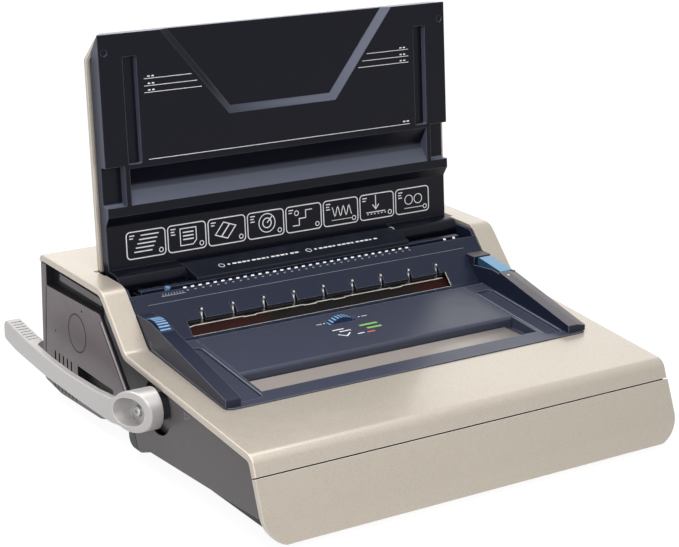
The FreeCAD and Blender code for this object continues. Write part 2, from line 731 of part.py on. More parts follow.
def right_rear_cover():
    """Rear side cover on the right, with the opening of the chip drawer."""
    mouth = box(-SIDE_X - 1, -FRAME_X + 1, DRAWER_FRONT_Y - DRAWER_GAP, DRAWER_REAR_Y + DRAWER_GAP,
                DRAWER_LOW_Z - DRAWER_GAP, DRAWER_TOP_Z + DRAWER_GAP)
    return mirrored(rear_cover([mouth] + vent_slots()))


def side_frame():
    """Inner side wall from the casing's underside down to the base."""
    rear = REAR_PANEL_Y - REAR_PANEL_T
    top = moved_path(shell_path(), SHELL_T)
    crest, valley, nose = top[2], top[3], top[4]
    roof_z = top[1][1]
    outline = [(rear, FLOOR_Z), (rear, roof_z - 0.6), (rear - 3, roof_z), (crest[0], crest[1], crest[2]),
               (valley[0], valley[1], valley[2]), (nose[0] + 4, tray_roof(nose[0] + 4)),
               (nose[0] + 4, 70.0), (FASCIA_WAIST_Y + 8, FASCIA_WAIST_Z + 2), (FASCIA_WAIST_Y + 8, FLOOR_Z),
               (ARCH_FRONT_Y, FLOOR_Z), (ARCH_FRONT_Y, ARCH_Z, 6.0), (ARCH_REAR_Y - 24, ARCH_Z, 6.0),
               (ARCH_REAR_Y, FLOOR_Z + 8), (ARCH_REAR_Y, FLOOR_Z)]
    wall = prism(outline, -FRAME_X, -FRAME_X + FRAME_T)
    feet_spans = [(FASCIA_WAIST_Y + 30, ARCH_FRONT_Y - 4), (ARCH_REAR_Y + 4, rear - 4)]
    soles = [box(-FRAME_X, -BASE_HALF + 8, a, b, FLOOR_Z, FLOOR_Z + FRAME_T) for a, b in feet_spans]
    return fused([wall] + soles)


def tray_roof(y):
    """Height of the casing's underside above a place on the front slope."""
    low = moved_path(shell_path(), SHELL_T)
    (y0, z0, _), (y1, z1, _) = low[3], low[4]
    return z0 + (y - y0) * (z1 - z0) / (y1 - y0)


def left_side_frame():
    return side_frame().cut(rod_x(-FRAME_X - 1, -FRAME_X + FRAME_T + 1, HUB_Y, HUB_Z, BUSH_R))


def right_side_frame():
    mouth = box(-FRAME_X - 1, -BASE_HALF, DRAWER_FRONT_Y - DRAWER_GAP, DRAWER_REAR_Y + DRAWER_GAP,
                DRAWER_LOW_Z - DRAWER_GAP, DRAWER_TOP_Z + DRAWER_GAP)
    cam = rod_x(-FRAME_X - 1, -FRAME_X + FRAME_T + 1, CAM_Y, CAM_Z, CAM_SHAFT_R + RUNNING_FIT)
    return mirrored(side_frame().cut(Part.makeCompound([mouth, cam])))


def rear_panel():
    """Back wall with air slots and the cut-outs of the inlet and the switch."""
    y0, y1 = REAR_PANEL_Y - REAR_PANEL_T, REAR_PANEL_Y
    half = FRAME_X
    panel = box(-half, half, y0, y1, BASE_Z, REAR_LIP_Z + 2.0)
    cuts = [box(INLET_X - 14.2, INLET_X + 14.2, y0 - 1, y1 + 1, INLET_Z - 10.2, INLET_Z + 10.2),
            box(SWITCH_X - 10.2, SWITCH_X + 10.2, y0 - 1, y1 + 1, INLET_Z - 7.2, INLET_Z + 7.2)]
    for side in (-1, 1):
        x0, x1 = sorted([side * (OPENING_HALF - 0.5), side * (OPENING_HALF + OPENING_LIP_T + 0.5)])
        cuts.append(box(x0, x1, y0 - 1, y1 + 1, REAR_LIP_Z - 0.5, REAR_LIP_Z + 5))
    for i in range(AIR_SLOT_COUNT):
        x = AIR_SLOT_LEFT_X + i * AIR_SLOT_PITCH
        x1 = x + AIR_SLOT_W
        cuts.append(front_prism([(x, AIR_SLOT_LOW_Z, 1.6), (x1, AIR_SLOT_LOW_Z, 1.6),
                                 (x1, AIR_SLOT_TOP_Z, 1.6), (x, AIR_SLOT_TOP_Z, 1.6)], y0 - 1, y1 + 1))
    return panel.cut(Part.makeCompound(cuts))


# Deck and its mechanism

def deck_path():
    return [(PAPER_SLOT_Y, DIE_TOP_Z), slope(8.0, DECK_SINK) + (1.5,),
            slope(CREASE_S, DECK_SINK + CREASE_DIP) + (4.0,), (21.5, 102.4, 3.0),
            (DECK_FOOT_Y, tray_top(DECK_FOOT_Y))]


def deck_under(s):
    """Depth of the deck's underside below the slope's plane, s down the slope."""
    low = moved_path(deck_path(), DECK_T)
    ends = []
    for y, z, _ in (low[2], low[3]):
        dy, dz = y - CREST_Y, z - CREST_Z
        ends.append((dy * DOWN_Y + dz * DOWN_Z, -dy * DOWN_Z + dz * DOWN_Y))
    (s0, n0), (s1, n1) = ends
    return n0 + (s - s0) * (n1 - n0) / (s1 - s0)


def deck_panel():
    """Sloping deck with the closing slot, its hook notches and the two cheeks of the hinge."""
    deck = prism(band(deck_path(), 0, DECK_T), -DECK_HALF, DECK_HALF)
    cuts = [slope_prism([(CLOSING_TOP_S, -4), (CLOSING_BOTTOM_S, -4), (CLOSING_BOTTOM_S, 9),
                         (CLOSING_TOP_S, 9)], CLOSING_LEFT_X, CLOSING_RIGHT_X)]
    for x in HOOK_XS:
        cuts.append(slope_prism([(HOOK_NOTCH_TOP_S, -4), (CLOSING_TOP_S + 1, -4),
                                 (CLOSING_TOP_S + 1, 9), (HOOK_NOTCH_TOP_S, 9)],
                                x - HOOK_NOTCH_W / 2, x + HOOK_NOTCH_W / 2))
    cuts.append(box(-DECK_HALF - 1, -LEFT_WEDGE_IN, DECK_FOOT_Y - 5, LEFT_WEDGE_REAR_Y, TRAY_Z - 9,
                    CREST_Z))
    cuts.append(box(RIGHT_WEDGE_IN, DECK_HALF + 1, DECK_FOOT_Y - 5, RIGHT_WEDGE_REAR_Y, TRAY_Z - 9,
                    CREST_Z))
    cuts.append(box(-DECK_HALF, DECK_HALF, DECK_FOOT_Y - 5, DECK_FOOT_Y, TRAY_Z - 9, CREST_Z))
    deck = deck.cut(Part.makeCompound(cuts))
    cheeks = []
    for side in (-1, 1):
        x0, x1 = sorted([side * CHEEK_X, side * DECK_HALF])
        cheek = prism([(CHEEK_FRONT_Y, CHEEK_LOW_Z + 4), (CHEEK_REAR_Y, CHEEK_LOW_Z, 4.0),
                       (CHEEK_REAR_Y, CHEEK_TOP_Z, 8.0), (PAPER_SLOT_Y + 4, CHEEK_TOP_Z, 3.0),
                       (CHEEK_FRONT_Y, CHEEK_NOSE_Z)], x0, x1)
        cheeks.append(cheek.cut(rod_x(x0 - 1, x1 + 1, PIVOT_Y, PIVOT_Z, ROD_R)))
    return fused([deck] + cheeks)


def punch_die():
    die = box(-PUNCH_HALF, PUNCH_HALF, PAPER_SLOT_Y - DIE_T, PAPER_SLOT_Y, PUNCH_LOW_Z, DIE_TOP_Z)
    holes = [rod_y(x, PUNCH_Z, PAPER_SLOT_Y - DIE_T - 1, PAPER_SLOT_Y + 1, PIN_R + PIN_FIT + 0.02)
             for x in HOLE_XS]
    return die.cut(Part.makeCompound(holes))


def punch_guide():
    """Floor of the paper slot and the wall behind it that the pins slide through."""
    front = PAPER_SLOT_Y + PAPER_SLOT_W
    guide = prism([(PAPER_SLOT_Y, PUNCH_LOW_Z), (PAPER_SLOT_Y, THROAT_Z), (front, THROAT_Z),
                   (front, GUIDE_TOP_Z), (front + GUIDE_T, GUIDE_TOP_Z),
                   (front + GUIDE_T, PUNCH_LOW_Z)], -PUNCH_HALF, PUNCH_HALF)
    holes = [rod_y(x, PUNCH_Z, front - 1, front + GUIDE_T + 1, PIN_R + PIN_FIT) for x in HOLE_XS]
    return guide.cut(Part.makeCompound(holes))


def punch_pins():
    front = PAPER_SLOT_Y + PAPER_SLOT_W + 0.4
    head = BAR_FRONT_Y + HEAD_SEAT
    pins = []
    for x in HOLE_XS:
        shank = rod_y(x, PUNCH_Z, front, head, PIN_R)
        pins.append(fused([shank, rod_y(x, PUNCH_Z, head, head + PIN_HEAD_H, PIN_HEAD_R)]))
    return Part.makeCompound(pins)


def pin_holder():
    """Front half of the sliding bar, which holds the heads of the pins."""
    back = BAR_FRONT_Y + HEAD_SEAT + PIN_HEAD_H
    holder = box(-BAR_HALF, BAR_HALF, BAR_FRONT_Y, back, HOLDER_LOW_Z, BAR_TOP_Z)
    cuts = []
    for x in HOLE_XS:
        cuts.append(rod_y(x, PUNCH_Z, BAR_FRONT_Y - 1, back + 1, PIN_R + 0.15))
        cuts.append(rod_y(x, PUNCH_Z, BAR_FRONT_Y + HEAD_SEAT, back + 1, PIN_HEAD_R + 0.2))
    return holder.cut(Part.makeCompound(cuts))


def pressure_bar():
    """Back half of the sliding bar, with a rounded nose in front of each cam."""
    front = BAR_FRONT_Y + HEAD_SEAT + PIN_HEAD_H
    back = BAR_REAR_Y - NOSE_R + 0.5
    bar = box(-BAR_HALF, BAR_HALF, front, back, BAR_LOW_Z, BAR_TOP_Z)
    noses = [rod_x(side * CAM_X - CAM_W / 2 - 1, side * CAM_X + CAM_W / 2 + 1, BAR_REAR_Y - NOSE_R,
                   CAM_Z, NOSE_R) for side in (-1, 1)]
    return fused([bar] + noses)


def camshaft():
    return rod_x(-CHASSIS_X - CHASSIS_T, FRAME_X, CAM_Y, CAM_Z, CAM_SHAFT_R)


def heart_points(x):
    """Corners of a heart cam whose radius grows evenly over half a turn and falls back again."""
    rise = PUNCH_TRAVEL / math.pi
    points = []
    for i in range(49):
        turn = math.pi * i / 48
        r = CAM_BASE_R + rise * turn
        points.append(Vector(x, CAM_Y - r * math.cos(turn), CAM_Z - r * math.sin(turn)))
    return points


def punch_cams():
    cams = []
    for side in (-1, 1):
        x = side * CAM_X - CAM_W / 2
        lower = Part.BSplineCurve()
        lower.interpolate(heart_points(x))
        upper_points = [Vector(p.x, p.y, 2 * CAM_Z - p.z) for p in heart_points(x)]
        upper = Part.BSplineCurve()
        upper.interpolate(upper_points)
        face = Part.Face(Part.Wire([lower.toShape(), upper.toShape()]))
        cam = face.extrude(Vector(CAM_W, 0, 0))
        cams.append(cam.cut(rod_x(x - 1, x + CAM_W + 1, CAM_Y, CAM_Z, CAM_SHAFT_R)))
    return Part.makeCompound(cams)


# Gears

def polar(y, z, r, angle):
    return Vector(0, y + r * math.cos(angle), z + r * math.sin(angle))


def gear(teeth, y, z, tooth_angle, x_low, x_high, bore_r):
    """A spur gear about an X axis, one tooth pointing along tooth_angle in degrees."""
    pitch_r = GEAR_MODULE * teeth / 2.0
    base_r = pitch_r * math.cos(PRESSURE_ANGLE)
    tip_r = pitch_r + TIP_HEIGHT * GEAR_MODULE
    root_r = pitch_r - 1.25 * GEAR_MODULE
    half_tooth = (math.pi * GEAR_MODULE / 2.0 - GEAR_BACKLASH) / 2.0 / pitch_r

    def half_angle(r):
        roll = math.acos(min(1.0, base_r / r))
        at_pitch = math.tan(PRESSURE_ANGLE) - PRESSURE_ANGLE
        return half_tooth + at_pitch - (math.tan(roll) - roll)

    low_r = max(base_r, root_r + 0.05)
    radii = [low_r + (tip_r - low_r) * k / 6.0 for k in range(7)]
    edges = []
    for i in range(teeth):
        middle = math.radians(tooth_angle) + 2 * math.pi * i / teeth
        rising = [polar(y, z, r, middle - half_angle(r)) for r in radii]
        falling = [polar(y, z, r, middle + half_angle(r)) for r in reversed(radii)]
        foot = half_angle(low_r)
        root_in = polar(y, z, root_r, middle - foot)
        root_out = polar(y, z, root_r, middle + foot)
        next_in = polar(y, z, root_r, middle + 2 * math.pi / teeth - foot)
        between = polar(y, z, root_r, middle + math.pi / teeth)
        for flank in (rising, falling):
            curve = Part.BSplineCurve()
            curve.interpolate(flank)
            edges.append(curve.toShape())
        edges.insert(-1, Part.Arc(rising[-1], polar(y, z, tip_r, middle), falling[0]).toShape())
        edges.insert(-3, Part.makeLine(root_in, rising[0]))
        edges.append(Part.makeLine(falling[-1], root_out))
        edges.append(Part.Arc(root_out, between, next_in).toShape())
    face = Part.Face(Part.Wire(edges))
    face.translate(Vector(x_low, 0, 0))
    return face.extrude(Vector(x_high - x_low, 0, 0)).cut(rod_x(x_low - 1, x_high + 1, y, z, bore_r))


def drive_gear():
    wheel = gear(DRIVE_TEETH, CAM_Y, CAM_Z, IDLER_ANGLE, GEAR_X, GEAR_END_X, CAM_SHAFT_R)
    holes = []
    for i in range(5):
        at = polar(CAM_Y, CAM_Z, 16.5, math.radians(72 * i))
        holes.append(rod_x(GEAR_X - 1, GEAR_END_X + 1, at.y, at.z, 4.0))
    return wheel.cut(Part.makeCompound(holes))


def idler_gear():
    half_pitch = 180.0 / IDLER_TEETH
    return gear(IDLER_TEETH, IDLER_Y, IDLER_Z, IDLER_ANGLE + 180 + half_pitch, GEAR_X, GEAR_END_X,
                GEAR_PIN_R + RUNNING_FIT)


def pinion_tooth_angle():
    """The pinion's tooth goes into the idler's gap that lies nearest to the line between them."""
    half_pitch = 180.0 / IDLER_TEETH
    step = 360.0 / IDLER_TEETH
    first = IDLER_ANGLE + 180 + half_pitch
    along = (PINION_ANGLE - first) / step
    off = (along - math.floor(along) - 0.5) * step
    return PINION_ANGLE + 180 + off * IDLER_TEETH / PINION_TEETH


def motor_pinion():
    wheel = gear(PINION_TEETH, PINION_Y, PINION_Z, pinion_tooth_angle(), GEAR_X, GEAR_END_X,
                 MOTOR_SHAFT_R)
    shaft = rod_x(GEAR_PLATE_X - 12, GEAR_END_X + 1, PINION_Y, PINION_Z, MOTOR_SHAFT_R)
    return fused([wheel, shaft])


def motor():
    can = rod_x(GEAR_PLATE_X - MOTOR_LENGTH, GEAR_PLATE_X, PINION_Y, PINION_Z, MOTOR_R)
    can = can.makeFillet(3.0, edges_where(can, lambda e: e.BoundBox.XMax < GEAR_PLATE_X - 60))
    neck = rod_x(GEAR_PLATE_X - MOTOR_LENGTH - 4, GEAR_PLATE_X - MOTOR_LENGTH + 1, PINION_Y,
                 PINION_Z, 6.0)
    bore = rod_x(GEAR_PLATE_X - 12.5, GEAR_PLATE_X + 1, PINION_Y, PINION_Z,
                 MOTOR_SHAFT_R + RUNNING_FIT)
    return fused([can, neck]).cut(bore)


def gearbox_plate():
    """Upright plate that carries the motor and the idler's pin."""
    x1 = GEAR_PLATE_X + GEAR_PLATE_T
    plate = prism([(CAM_Y + 17, FLOOR_Z + FRAME_T), (REAR_PANEL_Y - 8, FLOOR_Z + FRAME_T),
                   (REAR_PANEL_Y - 8, PINION_Z + 30, 8.0), (IDLER_Y + 8, CAM_Z + 16, 8.0),
                   (CAM_Y + 17, CAM_Z + 16, 4.0)], GEAR_PLATE_X, x1)
    plate = plate.cut(rod_x(GEAR_PLATE_X - 1, x1 + 1, PINION_Y, PINION_Z, 5.0))
    pin = rod_x(GEAR_PLATE_X, GEAR_END_X + 1, IDLER_Y, IDLER_Z, GEAR_PIN_R)
    collar = rod_x(x1, GEAR_X - 0.3, IDLER_Y, IDLER_Z, GEAR_PIN_R + 2)
    return fused([plate, pin, collar])


def chassis_plate(drawer_side):
    """Upright plate that carries the shafts, under the deck and the bed."""
    rear_rise_y = PAPER_SLOT_Y + PAPER_SLOT_W + GUIDE_T + 2.5
    top = CAM_Z + 12
    low_s = 58.0
    bend = slope(low_s + 4, deck_under(low_s) + 1.5)
    flat_s = 41.0
    outline = [(CHASSIS_FRONT_Y, FLOOR_Z), (CHASSIS_REAR_Y, FLOOR_Z), (CHASSIS_REAR_Y, top, 6.0),
               (rear_rise_y, top, 4.0), (rear_rise_y, PUNCH_LOW_Z),
               (slope(flat_s, deck_under(flat_s))[0] + 2.5, PUNCH_LOW_Z),
               slope(flat_s, deck_under(flat_s)), slope(low_s, deck_under(low_s)),
               bend, (DECK_FOOT_Y + 5, tray_top(DECK_FOOT_Y, BED_T) + 0.6),
               (DECK_FOOT_Y, tray_top(DECK_FOOT_Y, BED_T)),
               (CHASSIS_FRONT_Y, tray_top(CHASSIS_FRONT_Y, BED_T))]
    plate = prism(outline, -CHASSIS_X - CHASSIS_T, -CHASSIS_X)
    sole = box(-CHASSIS_X, -CHASSIS_X + 10, CHASSIS_FRONT_Y + 4, DRAWER_FRONT_Y - 8, FLOOR_Z,
               FLOOR_Z + CHASSIS_T)
    cuts = [rod_x(-CHASSIS_X - 4, -CHASSIS_X + 1, CAM_Y, CAM_Z, CAM_SHAFT_R + RUNNING_FIT),
            rod_x(-CHASSIS_X - 4, -CHASSIS_X + 1, HUB_Y, HUB_Z, BUSH_R)]
    if drawer_side:
        cuts.append(box(-CHASSIS_X - 4, -CHASSIS_X + 1, DRAWER_FRONT_Y - DRAWER_GAP,
                        DRAWER_REAR_Y + DRAWER_GAP, DRAWER_LOW_Z - DRAWER_GAP,
                        DRAWER_TOP_Z + DRAWER_GAP))
    return fused([plate, sole]).cut(Part.makeCompound(cuts))


def left_chassis_plate():
    return chassis_plate(False)


def right_chassis_plate():
    return mirrored(chassis_plate(True))


def chip_chute():
    """Bent sheet that leads the punched chips from the die down into the drawer."""
    chute = prism(band([(44.5, 112.0), (44.5, 98.0, 6.0), (66.0, 52.0)], 0, 1.2), -CHASSIS_X, CHASSIS_X)
    return chute


def chip_drawer():
    """Shallow tray with a front plate that fills the opening of the right rear cover."""
    w = DRAWER_WALL
    tray = box(DRAWER_LEFT_X, SIDE_X - 1, DRAWER_FRONT_Y, DRAWER_REAR_Y, DRAWER_LOW_Z, DRAWER_TOP_Z)
    tray = tray.cut(box(DRAWER_LEFT_X + w, SIDE_X - SIDE_T, DRAWER_FRONT_Y + w, DRAWER_REAR_Y - w,
                        DRAWER_LOW_Z + w, DRAWER_TOP_Z + 1))
    pull = prism([(80.0, 38.0, 3.0), (98.0, 38.0, 3.0), (98.0, 31.0, 3.0), (80.0, 31.0, 3.0)],
                 SIDE_X - SIDE_T - 2, SIDE_X)
    plate = box(SIDE_X - SIDE_T, SIDE_X, DRAWER_FRONT_Y, DRAWER_REAR_Y, DRAWER_LOW_Z, DRAWER_TOP_Z)
    dish = prism([(82.0, 36.4, 1.5), (96.0, 36.4, 1.5), (96.0, 32.6, 1.5), (82.0, 32.6, 1.5)],
                 SIDE_X - 1.4, SIDE_X + 1)
    return fused([tray, plate, pull]).cut(dish)


def control_board():
    """Circuit board with a transformer, two capacitors and a chip."""
    parts = [box(BOARD_X0, BOARD_X1, BOARD_Y0, BOARD_Y1, BOARD_Z, BOARD_Z + BOARD_T)]
    top = BOARD_Z + BOARD_T
    parts.append(box(BOARD_X0 + 10, BOARD_X0 + 42, BOARD_Y0 + 14, BOARD_Y0 + 42, top, top + 26))
    for x in (BOARD_X0 + 58, BOARD_X0 + 72):
        parts.append(rod_z(x, BOARD_Y0 + 22, top, top + 18, 5.0))
    parts.append(box(BOARD_X0 + 56, BOARD_X0 + 80, BOARD_Y0 + 40, BOARD_Y0 + 50, top, top + 4))
    return fused(parts)


def power_inlet():
    """Three-pin mains inlet let into the rear panel."""
    y1 = REAR_PANEL_Y
    body = box(INLET_X - 14, INLET_X + 14, y1 - 14, y1, INLET_Z - 10, INLET_Z + 10)
    flange = box(INLET_X - 18, INLET_X + 18, y1, y1 + 2, INLET_Z - 13, INLET_Z + 13)
    socket = front_prism([(INLET_X - 12, INLET_Z - 8, 1.5), (INLET_X + 12, INLET_Z - 8, 1.5),
                          (INLET_X + 12, INLET_Z + 4, 1.0), (INLET_X + 7.5, INLET_Z + 8, 1.0),
                          (INLET_X - 7.5, INLET_Z + 8, 1.0), (INLET_X - 12, INLET_Z + 4, 1.0)],
                         y1 - 12, y1 + 3)
    shape = fused([body, flange]).cut(socket)
    prongs = []
    for dx, dz in ((-7.0, -1.5), (0.0, 2.5), (7.0, -1.5)):
        prongs.append(box(INLET_X + dx - 1, INLET_X + dx + 1, y1 - 13, y1 - 4, INLET_Z + dz - 2,
                          INLET_Z + dz + 2))
    return fused([shape] + prongs)


def switch_frame():
    """Bezel and box that carry the rocker on the rear panel."""
    y1 = REAR_PANEL_Y
    body = box(SWITCH_X - 10, SWITCH_X + 10, y1 - 10, y1, INLET_Z - 7, INLET_Z + 7)
    flange = box(SWITCH_X - 12, SWITCH_X + 12, y1, y1 + 1.6, INLET_Z - 9, INLET_Z + 9)
    well = box(SWITCH_X - 8.6, SWITCH_X + 8.6, y1 - 8, y1 + 2, INLET_Z - 5.8, INLET_Z + 5.8)
    bores = rod_x(SWITCH_X - 9.6, SWITCH_X + 9.6, ROCKER_Y, INLET_Z, 1.2 + RUNNING_FIT)
    return fused([body, flange]).cut(Part.makeCompound([well, bores]))


def power_switch():
    """Rocker, tilted to its off side."""
    y, z = ROCKER_Y, INLET_Z
    rocker = prism([(y - 2.5, z - 2.5, 0.6), (y + 2.6, z - 4.8, 0.5), (y + 1.9, z), (y + 2.6, z + 4.8, 0.5),
                    (y - 2.5, z + 2.5, 0.6)], SWITCH_X - 8.2, SWITCH_X + 8.2)
    pin = rod_x(SWITCH_X - 9.5, SWITCH_X + 9.5, y, z, 1.2)
    rocker = fused([rocker, pin])
    rocker.rotate(Vector(SWITCH_X, y, z), Vector(1, 0, 0), ROCKER_TILT)
    return rocker


# Bed: tray, frame round it and the front channel

def tray_panel():
    """Flat tray in front of the deck, with a slot for the round-off wheel."""
    path = [(DECK_FOOT_Y + 3, tray_top(DECK_FOOT_Y + 3)), (TRAY_LIP_Y, tray_top(TRAY_LIP_Y), 4.0),
            (TRAY_LIP_Y, CHANNEL_FLOOR_Z)]
    tray = prism(band(path, 0, TRAY_T), -TRAY_HALF, TRAY_HALF)
    behind = box(-TRAY_HALF - 1, TRAY_HALF + 1, DECK_FOOT_Y, DECK_FOOT_Y + 9, TRAY_Z - 9, TRAY_Z + 9)
    half_y = SIZE_WHEEL_W / 2 + PIECE_GAP
    slot = box(SIZE_WHEEL_X - SIZE_SLOT_HALF, SIZE_WHEEL_X + SIZE_SLOT_HALF, SIZE_WHEEL_Y - half_y,
               SIZE_WHEEL_Y + half_y, TRAY_Z - 9, TRAY_Z + 9)
    return tray.cut(Part.makeCompound([behind, slot]))


def bed_frame():
    """One moulding: side plates with shallow troughs, front ledge and the channel's floor."""
    under = BED_T
    outer = OPENING_HALF - 0.5
    parts = [tray_prism(BED_FRONT_Y, DECK_FOOT_Y, 0, under, x0, x1)
             for x0, x1 in ((-outer, -TRAY_HALF - PIECE_GAP), (TRAY_HALF + PIECE_GAP, outer))]
    parts.append(tray_prism(BED_FRONT_Y, CHANNEL_FRONT_Y, 0, under, -outer, outer))
    round_off = plan_prism([(-outer, BED_FRONT_Y, OPENING_CORNER), (outer, BED_FRONT_Y, OPENING_CORNER),
                            (outer, DECK_FOOT_Y), (-outer, DECK_FOOT_Y)], TRAY_Z - 30, TRAY_Z + 20)
    parts = [fused(parts).common(round_off)]
    half = TRAY_HALF + 3
    for x0, x1 in ((-half, -TRAY_HALF - PIECE_GAP), (TRAY_HALF + PIECE_GAP, half)):
        parts.append(prism([(CHANNEL_FRONT_Y - 2, tray_top(CHANNEL_FRONT_Y - 2, under)),
                            (CHANNEL_REAR_Y, tray_top(CHANNEL_REAR_Y, under)),
                            (CHANNEL_REAR_Y, CHANNEL_FLOOR_Z - CHANNEL_FLOOR_T),
                            (CHANNEL_FRONT_Y - 2, CHANNEL_FLOOR_Z - CHANNEL_FLOOR_T)], x0, x1))
        inner = sorted([math.copysign(TRAY_HALF - 8, x0), math.copysign(TRAY_HALF + 3, x0)])
        parts.append(tray_prism(CHANNEL_REAR_Y - 0.5, DECK_FOOT_Y, TRAY_UNDER, under, inner[0], inner[1]))
    parts.append(box(-half, half, CHANNEL_FRONT_Y - 2, CHANNEL_REAR_Y, CHANNEL_FLOOR_Z - CHANNEL_FLOOR_T,
                     CHANNEL_FLOOR_Z))
    parts.append(prism([(CHANNEL_FRONT_Y - 2, tray_top(CHANNEL_FRONT_Y - 2, under)),
                        (CHANNEL_FRONT_Y, tray_top(CHANNEL_FRONT_Y, 0.5)),
                        (CHANNEL_FRONT_Y, CHANNEL_FLOOR_Z - CHANNEL_FLOOR_T),
                        (CHANNEL_FRONT_Y - 2, CHANNEL_FLOOR_Z - CHANNEL_FLOOR_T)], -half, half))
    back, front = BED_FRONT_Y + 3, BED_FRONT_Y - TONGUE_Y
    parts.append(prism([(back, tray_roof(back)), (front, tray_roof(front)),
                        (front, tray_roof(front) - 1.6), (back, tray_roof(back) - 1.6)],
                       -outer + 9, outer - 9))
    frame = fused(parts)
    cuts = []
    for x0, x1 in ((-TROUGH_OUT, -TROUGH_IN), (TROUGH_IN, RIGHT_WEDGE_IN - 3)):
        pocket = plan_prism([(x0, TROUGH_FRONT_Y, 5.0), (x1, TROUGH_FRONT_Y, 5.0), (x1, -3.0, 5.0),
                             (x0, -3.0, 5.0)], TRAY_Z - 30, TRAY_Z + 20)
        cuts.append(pocket.common(tray_prism(BED_FRONT_Y, DECK_FOOT_Y, -5, TROUGH_DEPTH, x0, x1)))
    wheel_front = EDGE_WHEEL_Y - EDGE_WHEEL_R + 0.5
    cuts.append(box(-LEFT_WEDGE_IN - 14.4, -LEFT_WEDGE_IN - 1.6, wheel_front, DECK_FOOT_Y + 1, TRAY_Z - 30,
                    TRAY_Z + 20))
    return frame.cut(Part.makeCompound(cuts))


def channel_strip():
    """Loose ribbed strip lying in the front channel."""
    y0, y1 = CHANNEL_FRONT_Y + 0.4, TRAY_LIP_Y - 1.7
    strip = box(-TRAY_HALF, STRIP_RIGHT_X, y0, y1, CHANNEL_FLOOR_Z, CHANNEL_FLOOR_Z + STRIP_T)
    return strip.makeFillet(0.8, edges_where(strip, lambda e: e.BoundBox.ZMin > CHANNEL_FLOOR_Z + 1))


# Wedges at the ends of the bed

def wedge_z(y):
    return WEDGE_TOP_Z + WEDGE_SLOPE * y


def left_wedge():
    """Hollow wedge with a pocket for the edge guide's wheel."""
    level_y = (LEFT_WEDGE_REAR_Z - WEDGE_TOP_Z) / WEDGE_SLOPE
    foot = tray_top(WEDGE_FRONT_Y)
    top = [(WEDGE_FRONT_Y, wedge_z(WEDGE_FRONT_Y), 1.5), (level_y, LEFT_WEDGE_REAR_Z, 20.0),
           (LEFT_WEDGE_REAR_Y, LEFT_WEDGE_REAR_Z, 2.0)]
    foot_s = 64.0
    outline = [(WEDGE_FRONT_Y, foot)] + top + [(LEFT_WEDGE_REAR_Y, 122.4), slope(foot_s, 3.0),
                                               (DECK_FOOT_Y, tray_top(DECK_FOOT_Y))]
    wedge = prism(outline, -WEDGE_OUT, -LEFT_WEDGE_IN)
    w = WEDGE_WALL
    hollow = [(WEDGE_FRONT_Y + w, foot - 5), (WEDGE_FRONT_Y + w, wedge_z(WEDGE_FRONT_Y) - w),
              (level_y, LEFT_WEDGE_REAR_Z - w), (LEFT_WEDGE_REAR_Y - w, LEFT_WEDGE_REAR_Z - w),
              (LEFT_WEDGE_REAR_Y - w, 122.0), slope(foot_s - 1, 8.0), (DECK_FOOT_Y, 94.0)]
    wedge = wedge.cut(prism(hollow, -WEDGE_OUT + w, -LEFT_WEDGE_IN - w))
    half = EDGE_WHEEL_W / 2 + 0.8
    middle = -(WEDGE_OUT + LEFT_WEDGE_IN) / 2
    reach = EDGE_WHEEL_R + 1.0
    slot = rod_x(middle - half, middle + half, EDGE_WHEEL_Y, EDGE_WHEEL_Z, reach)
    bore = rod_x(-WEDGE_OUT - 1, -LEFT_WEDGE_IN + 1, EDGE_WHEEL_Y, EDGE_WHEEL_Z,
                 EDGE_AXLE_R + RUNNING_FIT)
    return wedge.cut(Part.makeCompound([slot, bore]))


